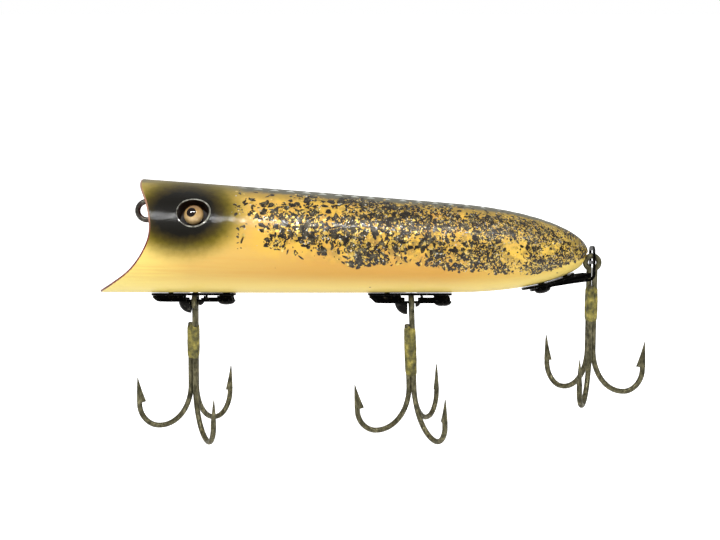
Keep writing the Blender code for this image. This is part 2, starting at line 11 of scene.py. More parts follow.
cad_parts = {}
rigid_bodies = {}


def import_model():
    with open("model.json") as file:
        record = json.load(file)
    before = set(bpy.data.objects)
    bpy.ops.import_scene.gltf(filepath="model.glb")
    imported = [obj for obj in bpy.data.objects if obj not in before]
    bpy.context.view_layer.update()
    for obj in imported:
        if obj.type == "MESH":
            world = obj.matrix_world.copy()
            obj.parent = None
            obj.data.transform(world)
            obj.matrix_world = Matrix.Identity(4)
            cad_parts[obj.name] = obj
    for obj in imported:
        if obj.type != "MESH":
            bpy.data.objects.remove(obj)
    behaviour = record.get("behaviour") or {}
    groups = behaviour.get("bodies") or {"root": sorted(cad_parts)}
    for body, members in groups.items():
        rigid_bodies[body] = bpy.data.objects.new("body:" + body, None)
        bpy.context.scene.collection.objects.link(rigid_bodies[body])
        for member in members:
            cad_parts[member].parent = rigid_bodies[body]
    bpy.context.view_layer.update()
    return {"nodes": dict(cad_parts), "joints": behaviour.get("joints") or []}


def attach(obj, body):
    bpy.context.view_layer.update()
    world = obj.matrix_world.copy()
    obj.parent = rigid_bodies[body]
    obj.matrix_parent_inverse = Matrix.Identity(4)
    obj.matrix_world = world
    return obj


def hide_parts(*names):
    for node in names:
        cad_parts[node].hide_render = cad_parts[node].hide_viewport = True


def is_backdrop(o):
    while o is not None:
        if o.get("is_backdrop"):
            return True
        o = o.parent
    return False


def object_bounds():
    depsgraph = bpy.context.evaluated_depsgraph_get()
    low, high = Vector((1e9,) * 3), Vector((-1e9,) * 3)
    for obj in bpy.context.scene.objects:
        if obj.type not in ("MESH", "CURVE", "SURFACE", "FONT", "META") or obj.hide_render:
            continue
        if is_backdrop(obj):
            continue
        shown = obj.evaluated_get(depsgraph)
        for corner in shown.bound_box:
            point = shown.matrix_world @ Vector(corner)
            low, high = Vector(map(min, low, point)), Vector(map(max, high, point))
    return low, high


bl_info = {
    "name": "Topwater Popper",
    "version": (1, 0, 0),
    "blender": (4, 5, 0),
    "location": "View3D > Sidebar > Popper",
    "description": "Builds a wooden topwater popper piece by piece",
    "category": "Add Mesh",
}

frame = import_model()
JOINTS = {joint["name"]: joint for joint in frame["joints"]}
MM = 0.001

# The plug leans back, and its axis starts below the line tie and runs down a little to the tail
BODY_LEAN = radians(15)
AXIS_DROP = 5.12
AXIS_TILT = atan(0.0394)
LEANED = Matrix.Rotation(-BODY_LEAN, 4, "X")
PLUG = LEANED @ Matrix.Translation((0, 0, -AXIS_DROP)) @ Matrix.Rotation(AXIS_TILT, 4, "Y")

# Millimetres, in the plug's own frame: X along its axis from the line tie, Z towards its crown
LIP_X = -8.7
TAIL_X = 88.95
TAIL_ROUND = 28.6
MOUTH = (  # the scoop's (x, z) points, crown first
    (-1.1, 12.5), (-1.15, 11.3), (-0.6, 9.7), (0.3, 8.1), (1.2, 6.4), (2.0, 4.0), (2.4, 1.3), (2.2, -0.7),
    (1.5, -2.6), (0.45, -4.5), (-1.2, -6.6), (-2.9, -8.1), (-4.8, -9.4), (-6.5, -10.45), (-8.7, -11.6),
    (-11.0, -12.7),
)
MOUTH_FLOOR = -11.55  # below this the scoop's face ends in the lip
EYE_X = 10.6
EYE_ANGLE = radians(25.6)
SOCKET_RADIUS = 3.2
SOCKET_DEPTH = 3.05
BEAD_RADIUS = 1.95
BEAD_HALF_HEIGHT = 1.6
BEAD_SINK = 1.25
GAZE = radians(14)
PUPIL_RADIUS = 0.95
LID = 0.92  # a socket's height as a share of its width
RAISED = radians(8)  # the pupils also look up by this
TIE_RING = 1.85
TIE_POCKET = (0.7, 0.7)  # how much wider than the ring its pocket is cut, and half the pocket's breadth
SHEET = 0.45
SEAM = 0.06  # between two sheets that lie on each other
PLATE_HALF_WIDTH = 1.95
PLATE_FORE, PLATE_AFT = -8.8, 8.2
BAR_HALF_WIDTH = PLATE_HALF_WIDTH - 0.1
TAIL_HALF_WIDTH = 2.2
HANGERS = {"front": (9.75, -16.63, 1.5), "mid": (53.3, -16.65, 1.8)}  # pivot x, top, drop of the bar
STOP_REACH = 2.5
TAIL_PIVOT = (89.75, -10.45)
STRAP_CORNER_Z = -14.05
STRAP_TOP_Z = -7.1
EYE_MEAN = 1.35  # from the middle of a hook's eye to the middle of its wire
EYE_RECESS = 2.22  # radius of the hollow in the belly over a hook's eye
TAIL_RECESS = 2.27
SHANK_PITCH = 0.575  # half the distance between two shanks
SINGLE_TOP = 4.85  # how far below the pivot the third hook's shank starts
TREBLES = {  # azimuth, lean along X, sway along Y, top and bottom of the braze
    "front": (183, -1.8, 0, 4.9, 12.2),
    "mid": (179, 2.3, 0, 4.9, 15.8),
    "tail": (111, 1.0, -4, 4.9, 12.2),
}

# Kinds of node and their commonest settings
MAPPING, NOISE, RAMP = "ShaderNodeMapping", "ShaderNodeTexNoise", "ShaderNodeValToRGB"
MATH, RANGE, MIX, BUMP = "ShaderNodeMath", "ShaderNodeMapRange", "ShaderNodeMix", "ShaderNodeBump"
TIMES, PLUS, MINUS, OVER = [{"operation": name} for name in ("MULTIPLY", "ADD", "SUBTRACT", "DIVIDE")]
SMOOTH = {"interpolation_type": "SMOOTHSTEP"}
COLOURS = {"data_type": "RGBA"}
RANDOM = "FunctionNodeRandomValue"


# ---- small tools ----


def linear(hex_colour):
    """An sRGB hex colour as linear RGBA."""
    channels = [int(hex_colour[i : i + 2], 16) / 255 for i in (1, 3, 5)]
    return (*(c / 12.92 if c <= 0.04045 else ((c + 0.055) / 1.055) ** 2.4 for c in channels), 1.0)


def feed(tree, made, inputs):
    """Links or sets a node's inputs, given in order or by place or name."""
    pairs = inputs.items() if isinstance(inputs, dict) else enumerate(inputs)
    for key, value in pairs:
        if isinstance(value, bpy.types.NodeSocket):
            tree.links.new(value, made.inputs[key])
        else:
            made.inputs[key].default_value = value


def add_node(tree, kind, inputs=(), output=0, stops=(), **settings):
    """Adds a node with its settings, (position, hex) stops and inputs, and returns one output or all."""
    made = tree.nodes.new(kind)
    for name, value in settings.items():
        setattr(made, name, value)
    if stops:
        elements = made.color_ramp.elements
        while len(elements) < len(stops):
            elements.new(0.5)
        for element, (position, colour) in zip(elements, stops):
            element.position = position
            element.color = linear(colour)
    feed(tree, made, inputs)
    return made.outputs if output is None else made.outputs[output]


def new_material(name, **finish):
    """A Principled material: returns it, its tree and its shader."""
    made = bpy.data.materials.new(name)
    made.use_nodes = True
    tree = made.node_tree
    shader = tree.nodes["Principled BSDF"]
    for key, value in finish.items():
        shader.inputs[key.replace("_", " ").title()].default_value = value
    return made, tree, shader


def millimetres(tree, scale=(1, 1, 1)):
    """Object coordinates in millimetres, stretched."""
    where = add_node(tree, "ShaderNodeTexCoord", output="Object")
    return add_node(tree, MAPPING, {"Vector": where, "Scale": [s / MM for s in scale]})


def plug_place(tree):
    """Millimetres in the plug's own frame, so that paint follows its axis."""
    where = add_node(tree, "ShaderNodeTexCoord", output="Object")
    shift = (-AXIS_DROP * sin(AXIS_TILT), 0, AXIS_DROP * cos(AXIS_TILT))
    turn = (BODY_LEAN, -AXIS_TILT, 0)
    scale = (1 / MM, 1 / MM, 1 / MM)
    return add_node(tree, MAPPING, {"Vector": where, "Scale": scale, "Rotation": turn, "Location": shift})


def shape(name, bm, materials, body, replaced=(), turn=None, smooth=35):
    """Turns a mesh drawn in millimetres into a finished piece in metres that rides on a body."""
    if turn is not None:
        bmesh.ops.transform(bm, matrix=turn, verts=bm.verts)
    bmesh.ops.remove_doubles(bm, verts=bm.verts, dist=1e-4)
    bmesh.ops.recalc_face_normals(bm, faces=bm.faces)
    bmesh.ops.scale(bm, verts=bm.verts, vec=(MM, MM, MM))
    mesh = bpy.data.meshes.new(name)
    bm.to_mesh(mesh)
    bm.free()
    mesh.shade_smooth()
    mesh.set_sharp_from_angle(angle=radians(smooth))
    for item in materials:
        mesh.materials.append(item)
    piece = bpy.data.objects.new(name, mesh)
    bpy.context.scene.collection.objects.link(piece)
    if body:
        settle(piece, body, replaced)
    return piece


def settle(piece, body, replaced=()):
    """Puts a piece on the body it rides on, and hides the CAD nodes that it stands for."""
    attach(piece, body)
    if replaced:
        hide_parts(*replaced)


def baked(piece):
    """The piece's mesh with its modifiers applied and removed."""
    graph = bpy.context.evaluated_depsgraph_get()
    mesh = bpy.data.meshes.new_from_object(piece.evaluated_get(graph), depsgraph=graph)
    piece.modifiers.clear()
    piece.data = mesh
    return piece


def cut(piece, helpers, solver="EXACT"):
    """Takes the helpers' shapes out of the piece and removes them."""
    for helper in helpers:
        boolean = piece.modifiers.new(helper.name, "BOOLEAN")
        boolean.object = helper
        boolean.operation = "DIFFERENCE"
        boolean.solver = solver
    bpy.context.view_layer.update()
    baked(piece)
    for helper in helpers:
        bpy.data.objects.remove(helper)
    return piece


def ease_edges(piece, width, angle=40, segments=2):
    """Rounds the piece's sharp edges over."""
    bevel = piece.modifiers.new("eased edges", "BEVEL")
    bevel.width = width * MM
    bevel.segments = segments
    bevel.limit_method = "ANGLE"
    bevel.angle_limit = radians(angle)
    bpy.context.view_layer.update()
    baked(piece)
    piece.data.shade_smooth()
    piece.data.set_sharp_from_angle(angle=radians(50))
    return piece


def turned(profile, turn, sides):
    """A closed turned shape from (radius, height) points, lowest first, about Z."""
    bm = bmesh.new()
    verts = [bm.verts.new((radius, 0, height)) for radius, height in profile]
    edges = [bm.edges.new(pair) for pair in zip(verts, verts[1:])]
    bmesh.ops.spin(
        bm, geom=verts + edges, cent=(0, 0, 0), axis=(0, 0, 1), angle=2 * pi, steps=sides, use_merge=True
    )
    bmesh.ops.remove_doubles(bm, verts=bm.verts, dist=1e-4)
    bmesh.ops.transform(bm, matrix=turn, verts=bm.verts)
    return bm


def skin(bm, rings, closed=False):
    """Walls between the rings, and a cap on each end unless the last ring joins the first."""
    pairs = list(zip(rings, rings[1:])) + ([(rings[-1], rings[0])] if closed else [])
    for one, other in pairs:
        for i in range(len(one)):
            j = (i + 1) % len(one)
            bm.faces.new((one[i], one[j], other[j], other[i]))
    if not closed:
        bm.faces.new(rings[0])
        bm.faces.new(rings[-1])


def wire(stations, sides=20):
    """A round wire along (point, radius, push) stations, where a push moves one side outwards, as a barb."""
    bm = bmesh.new()
    rings = []
    side = Vector((0.3, 1, 0.2))
    for i, (point, radius, push) in enumerate(stations):
        after = stations[min(i + 1, len(stations) - 1)][0]
        before = stations[max(i - 1, 0)][0]
        along = (after - before).normalized()
        side = (side - along * side.dot(along)).normalized()
        up = along.cross(side)
        ring = []
        for k in range(sides):
            angle = 2 * pi * k / sides
            away = side * cos(angle) + up * sin(angle)
            share = max(0.0, away.dot(push.normalized())) ** 6 if push.length else 0
            ring.append(bm.verts.new(point + away * radius + push * share))
        rings.append(ring)
    skin(bm, rings)
    return bm


def box_shape(low, high):
    """A box between two corners."""
    bm = bmesh.new()
    bmesh.ops.create_cube(bm, size=1)
    low, high = Vector(low), Vector(high)
    bmesh.ops.scale(bm, verts=bm.verts, vec=high - low)
    bmesh.ops.translate(bm, verts=bm.verts, vec=(low + high) / 2)
    return bm


def slab(outline, y, half):
    """An (x, z) outline with a thickness along Y."""
    bm = bmesh.new()
    front, back = ([bm.verts.new((x, y + offset, z)) for x, z in outline] for offset in (-half, half))
    skin(bm, [front, back])
    return bm


def rod(radius, start, end, sides=32):
    """A round bar between two points."""
    start = Vector(start)
    along = Vector(end) - start
    turn = Matrix.Translation(start) @ along.to_track_quat("Z", "Y").to_matrix().to_4x4()
    return turned([(0, 0), (radius, 0), (radius, along.length), (0, along.length)], turn, sides)


def helper(name, bm, turn=LEANED):
    """A shape to cut with, which no body carries."""
    return shape(name, bm, [], None, turn=turn)


def ribbon(stations, thickness, columns=8):
    """A bent strip of sheet from (x, middle z, half width) stations."""
    bm = bmesh.new()
    rings = []
    for i, (x, z, half_width) in enumerate(stations):
        before = stations[max(i - 1, 0)]
        after = stations[min(i + 1, len(stations) - 1)]
        along = Vector((after[0] - before[0], 0, after[1] - before[1])).normalized()
        up = Vector((-along.z, 0, along.x)) * (thickness / 2)
        centre = Vector((x, 0, z))
        across = [Vector((0, half_width * (2 * k / columns - 1), 0)) for k in range(columns + 1)]
        ring = [bm.verts.new(centre + up + y) for y in across]
        ring += [bm.verts.new(centre - up + y) for y in reversed(across)]
        rings.append(ring)
    skin(bm, rings)
    return bm


# ---- shapes of the plug ----


def body_radius(x):
    """The plug's radius: a slow taper that rounds off over the last TAIL_ROUND."""
    taper = 11.4 - 0.0335 * x - 0.00009 * x * x
    along = (x - TAIL_X + TAIL_ROUND) / TAIL_ROUND
    return taper * sqrt(max(0, 1 - max(0, along) ** 2.45))


def mouth_x(height):
    """How far back the scoop lies at a height above the plug's axis, by a smooth curve through its points."""
    points = sorted((z, x) for x, z in MOUTH)
    height = min(max(height, points[0][0]), points[-1][0])
    i = max(k for k in range(len(points) - 1) if points[k][0] <= height)
    (z0, x0), (z1, x1) = points[i], points[i + 1]
    before = points[max(i - 1, 0)]
    after = points[min(i + 2, len(points) - 1)]
    slope0 = (x1 - before[1]) / (z1 - before[0])
    slope1 = (after[1] - x0) / (after[0] - z0)
    span = z1 - z0
    t = (height - z0) / span
    ease = (2 * t**3 - 3 * t**2 + 1) * x0 + (t**3 - 2 * t**2 + t) * span * slope0
    return ease + (3 * t**2 - 2 * t**3) * x1 + (t**3 - t**2) * span * slope1


def rim_x(angle):
    """Where the mouth meets the skin, at an angle from the crown."""
    x = 0.0
    for _ in range(30):
        x = 0.5 * (x + max(mouth_x(body_radius(x) * cos(angle)), LIP_X))
    return x


def belly(x):
    """The height of the lowest line of the skin at x, before the plug is leant back."""
    turned_down = Matrix.Translation((0, 0, -AXIS_DROP)) @ Matrix.Rotation(AXIS_TILT, 4, "Y")
    return (turned_down @ Vector((x, 0, -body_radius(x)))).z


def eye_turn(side):
    """Z runs out of the head through the eye, from the skin there. side is 1 on +Y and -1 on -Y."""
    out = Vector((0, side * cos(EYE_ANGLE), sin(EYE_ANGLE)))
    turn = out.to_track_quat("Z", "X").to_matrix().to_4x4()
    return PLUG @ Matrix.Translation(Vector((EYE_X, 0, 0)) + out * body_radius(EYE_X)) @ turn


def squash(turn):
    """Scales along an eye's X and Y, of which one runs along the plug and the other round it."""
    return (1, LID) if abs(turn[0][0]) > abs(turn[0][1]) else (LID, 1)


def bead_turn(side):
    """Z runs out of the bead's centre through its pupil, which looks forward of the socket's own line."""
    gaze = Matrix.Rotation(GAZE, 4, eye_turn(side).to_3x3().inverted() @ PLUG.to_3x3() @ Vector((0, 0, side)))
    up = Matrix.Rotation(RAISED, 4, eye_turn(side).to_3x3().inverted() @ Vector((-side, 0, 0)))
    return eye_turn(side) @ Matrix.Translation((0, 0, -BEAD_SINK)) @ up @ gaze


def tail_seat(x):
    """A point of the belly line and the direction straight out of the wood there."""
    step = 0.5
    slope = (belly(x + step) - belly(x - step)) / (2 * step)
    return Vector((x, 0, belly(x))), Vector((slope, 0, -1)).normalized()


# ---- materials ----


def painted_wood(settings):
    """Airbrushed lacquer on hardwood: warm straw paint with faint grain, an olive to black cloud round the
    eye and a grey-green back netted with pale diamonds near the crown, which are painted highlights, under a
    clear coat that gives it its wet shine."""
    made, tree, shader = new_material("lacquered_wood", roughness=0.5, coat_weight=0.5, coat_roughness=0.04)
    place = plug_place(tree)
    x, y, height = add_node(tree, "ShaderNodeSeparateXYZ", (place,), None)
    # The plug's radius at x, as in body_radius(), and how high a point stands as a share of it
    rounded = add_node(tree, RANGE, (x, TAIL_X - TAIL_ROUND, TAIL_X))
    rounded = add_node(tree, MATH, (rounded, 2.45), operation="POWER")
    rounded = add_node(tree, MATH, (1.0, rounded), **MINUS)
    rounded = add_node(tree, MATH, (rounded,), operation="SQRT")
    radius = add_node(tree, MATH, (add_node(tree, RANGE, (x, 0, 86, 11.4, 7.85)), rounded), **TIMES)
    share = add_node(tree, MATH, (height, add_node(tree, MATH, (radius, 0.5), operation="MAXIMUM")), **OVER)

    # Grain runs along the plug: streaks about 0.5 mm apart and 20 mm long
    along = add_node(tree, MAPPING, {"Vector": place, "Scale": (0.06, 1.6, 1.6)})
    grain = add_node(tree, NOISE, {"Vector": along, "Scale": 1.0, "Detail": 5, "Roughness": 0.6})
    clouds = add_node(tree, NOISE, {"Vector": place, "Scale": 0.35, "Detail": 3, "Roughness": 0.55})
    stains = add_node(tree, NOISE, {"Vector": place, "Scale": 0.55, "Detail": 5, "Roughness": 0.65})
    ragged = add_node(tree, NOISE, {"Vector": place, "Scale": 0.5, "Detail": 3, "Roughness": 0.55})
    lifted = add_node(tree, MATH, (ragged, 0.12, share), operation="MULTIPLY_ADD")
    mist = add_node(tree, NOISE, {"Vector": place, "Scale": 0.9, "Detail": 6, "Roughness": 0.55})
    mist = add_node(tree, MATH, (add_node(tree, MATH, (mist, 0.5), **MINUS), 0.16), **TIMES)

    # Painted highlights: pale diamonds 3.2 mm long and 4.4 mm round the back, staggered row by row, standing
    # for the shine of the scale relief at the crown
    arc = add_node(tree, MATH, (add_node(tree, MATH, (y, height), operation="ARCTAN2"), radius), **TIMES)
    crown_highlight_lattice = add_node(tree, MATH, (clouds, 0.5), **TIMES)
    for value, pitch in ((x, 3.2), (arc, 4.4)):
        wave = add_node(tree, MATH, (value, 2 * pi / pitch), **TIMES)
        wave = add_node(tree, MATH, (wave,), operation="COSINE")
        crown_highlight_lattice = add_node(tree, MATH, (crown_highlight_lattice, wave), **PLUS)

    # The cloud round the eye spreads as an ellipse with a misted edge: black in the middle, olive outside
    spread = mist
    for value, centre, reach in ((x, 8.8, 12.6), (height, 4.4, 9.4)):
        away = add_node(tree, MATH, (add_node(tree, MATH, (value, centre), **MINUS), reach), **OVER)
        spread = add_node(tree, MATH, (away, away, spread), operation="MULTIPLY_ADD")
    cloud_stops = (
        (0, "#0B0904"), (0.2, "#0F0C05"), (0.33, "#3A300A"), (0.52, "#675A12"), (0.8, "#978431"),
        (1, "#B39B48"),
    )
    cloud = add_node(tree, RAMP, (spread,), stops=cloud_stops)
    # A few chips down to brown undercoat, under half a millimetre across
    chips = add_node(tree, "ShaderNodeTexVoronoi", {"Vector": place, "Scale": 0.16, "Randomness": 1.0})
    chips = add_node(tree, MATH, (chips, mist), **PLUS)

    straw_stops = (
        (0, "#F8E684"), (0.11, "#F2D572"), (0.2, "#DDB65F"), (0.45, "#D3A24A"), (0.7, "#D29E45"),
        (0.84, "#E2BC58"), (0.95, "#F0D36A"),
    )
    base = add_node(tree, RAMP, (add_node(tree, RANGE, (x, -9, 89)),), stops=straw_stops)
    # Coats from the first to the last: strength, colour, and the limits between which each fades in
    for strength, colour, limits in (
        (0.22, linear("#D79A48"), ((grain, 0.42, 0.68),)),
        (0.7, linear("#FFE98A"), ((share, -0.6, -0.95),)),
        (0.75, linear("#E8BC48"), ((x, 16, 30), (share, -0.5, -0.15), (clouds, 0.35, 0.6))),
        (0.65, linear("#8A7340"), ((x, 30, 42), (share, -0.5, -0.2), (stains, 0.42, 0.62))),
        (0.85, linear("#665A32"), ((x, 80, 88), (share, -0.3, 0.6))),
        (0.55, linear("#7C6C34"), ((lifted, 0.78, 0.9),)),
        (0.95, linear("#5F6052"), ((lifted, 0.9, 0.99),)),
        # Pale diamonds at the crown: painted highlights of the scale relief
        (0.7, linear("#E4E8DE"), ((crown_highlight_lattice, 0.1, 0.5), (share, 0.945, 0.965), (x, 14, 26))),
        (1.0, cloud, ((spread, 1.25, 0.42),)),
        (0.8, linear("#6A3A18"), ((chips, 0.05, 0.03),)),
    ):
        mask = strength
        for limit in limits:
            mask = add_node(tree, MATH, (mask, add_node(tree, RANGE, limit, **SMOOTH)), **TIMES)
        base = add_node(tree, MIX, {0: mask, 6: base, 7: colour}, 2, **COLOURS)

    crazing = add_node(tree, NOISE, {"Vector": place, "Scale": 1.6, "Detail": 6, "Roughness": 0.6})
    streaks = add_node(tree, RANGE, (grain, 0.42, 0.68), **SMOOTH)
    relief = add_node(tree, MATH, (streaks, -0.3, crazing), operation="MULTIPLY_ADD")
    relief = add_node(tree, BUMP, {"Height": relief, "Strength": 0.12, "Distance": 0.0003})
    # Small sags and specks in the clear coat, which break its shine up
    specks = add_node(tree, NOISE, {"Vector": place, "Scale": 2.6, "Detail": 3, "Roughness": 0.7})
    sags = add_node(tree, MATH, (specks, crazing), **PLUS)
    sags = add_node(tree, BUMP, {"Height": sags, "Strength": 0.3, "Distance": 0.0001})
    feed(tree, shader, {"Base Color": base, "Normal": relief, "Coat Normal": sags})
    shader.inputs["Specular IOR Level"].default_value = 0.15
    return made


def red_paint(settings):
    """Brushed red enamel in the mouth: deep red with brush marks, worn to brown in places."""
    made, tree, shader = new_material("red_mouth_enamel", roughness=0.3, coat_weight=0.7, coat_roughness=0.1)
    place = plug_place(tree)
    strokes = add_node(tree, MAPPING, {"Vector": place, "Scale": (1.5, 0.35, 1.5)})
    marks = add_node(tree, NOISE, {"Vector": strokes, "Scale": 1.0, "Detail": 5, "Roughness": 0.55})
    red = add_node(tree, RAMP, (marks,), stops=((0.3, "#6E1712"), (0.55, "#A02A20"), (0.75, "#B8382A")))
    wear_and_highlight = add_node(tree, NOISE, {"Vector": place, "Scale": 0.8, "Detail": 6, "Roughness": 0.65})
    wear_and_highlight = add_node(tree, RANGE, (wear_and_highlight, 0.6, 0.68), **SMOOTH)
    worn = add_node(tree, MIX, {0: wear_and_highlight, 6: red, 7: linear("#4A221A")}, 2, **COLOURS)
    relief = add_node(tree, BUMP, {"Height": marks, "Strength": 0.25, "Distance": 0.0002})
    feed(tree, shader, {"Base Color": worn, "Normal": relief})
    return made


def lip_paint(settings):
    """The red enamel where it laps the rim: a thin line, chipped to pale wood and dark undercoat."""
    made, tree, shader = new_material("red_lip_enamel", roughness=0.4, coat_weight=0.5, coat_roughness=0.15)
    place = plug_place(tree)
    chips = add_node(tree, NOISE, {"Vector": place, "Scale": 0.7, "Detail": 5, "Roughness": 0.6})
    height = add_node(tree, "ShaderNodeSeparateXYZ", (place,), 2)
    upper = add_node(tree, RANGE, (height, -1, 4), **SMOOTH)
    upper = add_node(tree, MIX, {0: upper, 6: linear("#6B2119"), 7: linear("#C8A082")}, 2, **COLOURS)
    wear_stops = ((0.3, "#3A1510"), (0.5, "#7A2A20"), (0.62, "#96503C"), (0.72, "#E6CFA8"))
    worn = add_node(tree, RAMP, (chips,), stops=wear_stops)
    colour = add_node(tree, MIX, {0: 0.5, 6: upper, 7: worn}, 2, **COLOURS)
    relief = add_node(tree, BUMP, {"Height": chips, "Strength": 0.3, "Distance": 0.0002})
    feed(tree, shader, {"Base Color": colour, "Normal": relief})
    return made


def cut_foil(name, stops, roughness, metallic, coat):
    """Cut metal foil set in lacquer: each scrap has its own shade, duller where lacquer has crept over it."""
    made, tree, shader = new_material(
        name, roughness=roughness, metallic=metallic, coat_weight=coat, coat_roughness=0.1
    )
    place = millimetres(tree)
    shade = add_node(tree, NOISE, {"Vector": place, "Scale": 0.9, "Detail": 4, "Roughness": 0.7})
    creases = add_node(tree, NOISE, {"Vector": place, "Scale": 5, "Detail": 3, "Roughness": 0.55})
    relief = add_node(tree, BUMP, {"Height": creases, "Strength": 0.35, "Distance": 0.0001})
    feed(tree, shader, {"Base Color": add_node(tree, RAMP, (shade,), stops=stops), "Normal": relief})
    return made


def tan_glass(settings):
    """Pressed glass bead: pale tan, darker at its top where the socket shades it, with a hard shine."""
    made, tree, shader = new_material("tan_glass", roughness=0.12, coat_weight=1.0, coat_roughness=0.03)
    place = plug_place(tree)
    height = add_node(tree, "ShaderNodeSeparateXYZ", (place,), 2)
    tone = add_node(tree, RANGE, (height, 3.2, 6.6), **SMOOTH)
    body = add_node(tree, RAMP, (tone,), stops=((0, "#D0B07C"), (0.5, "#B8945E"), (1, "#6A4421")))
    swirls = add_node(tree, NOISE, {"Vector": place, "Scale": 1.2, "Detail": 4, "Roughness": 0.55})
    amber = add_node(tree, RANGE, (swirls, 0.4, 0.7, 0, 0.3), **SMOOTH)
    colour = add_node(tree, MIX, {0: amber, 6: body, 7: linear("#9A7038")}, 2, **COLOURS)
    relief = add_node(tree, BUMP, {"Height": swirls, "Strength": 0.05, "Distance": 0.0002})
    feed(tree, shader, {"Base Color": colour, "Normal": relief})
    return made


def dark_glass(settings):
    """Black glass of the pupil: almost no colour of its own, only its sharp reflections."""
    made, tree, shader = new_material("black_glass", roughness=0.08, coat_weight=1.0, coat_roughness=0.02)
    shade = add_node(tree, NOISE, {"Vector": millimetres(tree), "Scale": 2.0, "Detail": 3, "Roughness": 0.55})
    colour = add_node(tree, RAMP, (shade,), stops=((0.3, "#0B0706"), (0.7, "#1C0F0B")))
    feed(tree, shader, {"Base Color": colour})
    return made


def socket_lacquer(settings):
    """Thick black-brown lacquer pooled in the eye socket, dull where it lies deepest."""
    made, tree, shader = new_material("socket_lacquer", roughness=0.5, coat_weight=0.25, coat_roughness=0.1)
    shade = add_node(tree, NOISE, {"Vector": millimetres(tree), "Scale": 1.4, "Detail": 5, "Roughness": 0.55})
    tone = add_node(tree, RAMP, (shade,), stops=((0.3, "#0E0906"), (0.6, "#241509"), (0.75, "#3A2614")))
    relief = add_node(tree, BUMP, {"Height": shade, "Strength": 0.3, "Distance": 0.0002})
    feed(tree, shader, {"Base Color": tone, "Normal": relief})
    return made


def rim_painted_highlight(settings):
    """The lacquered edge of the socket, painted pale grey in a broken line as the highlight along its rim."""
    made, tree, shader = new_material("socket_rim_painted_highlight", roughness=0.35, coat_weight=0.6, coat_roughness=0.08)
    wear_and_highlight = add_node(tree, NOISE, {"Vector": millimetres(tree), "Scale": 0.9, "Detail": 5, "Roughness": 0.65})
    # The pale grey stops are a painted highlight round the rim
    tone = add_node(tree, RAMP, (wear_and_highlight,), stops=((0.32, "#1B1812"), (0.46, "#6E6C62"), (0.62, "#B4B4A8")))
    feed(tree, shader, {"Base Color": tone})
    return made


def tie_steel(settings):
    """Drawn steel wire, dark with age and brighter where line has rubbed it."""
    made, tree, shader = new_material("soft_steel_wire", metallic=1.0)
    shade = add_node(tree, NOISE, {"Vector": millimetres(tree), "Scale": 1.1, "Detail": 5, "Roughness": 0.6})
    colour = add_node(tree, RAMP, (shade,), stops=((0.3, "#3A3834"), (0.55, "#6E6A62"), (0.75, "#A09A8C")))
    gloss = add_node(tree, RANGE, (shade, 0.3, 0.7, 0.5, 0.28), **SMOOTH)
    relief = add_node(tree, BUMP, {"Height": shade, "Strength": 0.15, "Distance": 0.0001})
    feed(tree, shader, {"Base Color": colour, "Roughness": gloss, "Normal": relief})
    return made


def dark_nickel(settings):
    """Blackened nickel on stamped sheet: near black with a soft metal sheen, worn to grey in small scuffs."""
    made, tree, shader = new_material("blackened_nickel", metallic=1.0)
    place = millimetres(tree)
    scuff = add_node(tree, NOISE, {"Vector": place, "Scale": 1.3, "Detail": 6, "Roughness": 0.65})
    scuff = add_node(tree, RANGE, (scuff, 0.55, 0.75), **SMOOTH)
    colour = add_node(tree, MIX, {0: scuff, 6: linear("#1C1B1A"), 7: linear("#5A5852")}, 2, **COLOURS)
    gloss = add_node(tree, RANGE, (scuff, 0, 1, 0.27, 0.5), **SMOOTH)
    ripple = add_node(tree, NOISE, {"Vector": place, "Scale": 3.0, "Detail": 3, "Roughness": 0.55})
    relief = add_node(tree, BUMP, {"Height": ripple, "Strength": 0.1, "Distance": 0.0001})
    feed(tree, shader, {"Base Color": colour, "Roughness": gloss, "Normal": relief})
    return made


def hook_steel(settings):
    """Old tinned hook wire: olive-grey metal, mottled with tarnish and small rust freckles."""
    made, tree, shader = new_material("aged_hook_steel", metallic=0.55)
    streaked = millimetres(tree, (1, 1, 0.45))
    tarnish = add_node(tree, NOISE, {"Vector": streaked, "Scale": 1.5, "Detail": 6, "Roughness": 0.6})
    tone_stops = ((0.28, "#2E2C1E"), (0.45, "#524F3A"), (0.6, "#757055"), (0.78, "#B0A880"))
    colour = add_node(tree, RAMP, (tarnish,), stops=tone_stops)
    rust = add_node(tree, NOISE, {"Vector": millimetres(tree), "Scale": 2.2, "Detail": 4, "Roughness": 0.7})
    rust = add_node(tree, RANGE, (rust, 0.62, 0.72, 0, 0.7), **SMOOTH)
    colour = add_node(tree, MIX, {0: rust, 6: colour, 7: linear("#5A3E1E")}, 2, **COLOURS)
    gloss = add_node(tree, RANGE, (tarnish, 0.3, 0.75, 0.55, 0.3), **SMOOTH)
    relief = add_node(tree, BUMP, {"Height": tarnish, "Strength": 0.25, "Distance": 0.0001})
    feed(tree, shader, {"Base Color": colour, "Roughness": gloss, "Normal": relief})
    shader.inputs["Specular IOR Level"].default_value = 0.3
    return made


def braze_metal(settings):
    """Brazing brass run down between the shanks: dull gold, greenish black where it is old."""
    made, tree, shader = new_material("brass_braze", metallic=0.5, roughness=0.5)
    patina = add_node(tree, NOISE, {"Vector": millimetres(tree), "Scale": 0.7, "Detail": 6, "Roughness": 0.6})
    tone_stops = ((0.3, "#33321F"), (0.45, "#67633A"), (0.56, "#8E8544"), (0.7, "#C6B760"))
    colour = add_node(tree, RAMP, (patina,), stops=tone_stops)
    relief = add_node(tree, BUMP, {"Height": patina, "Strength": 0.5, "Distance": 0.0002})
    feed(tree, shader, {"Base Color": colour, "Normal": relief})
    return made


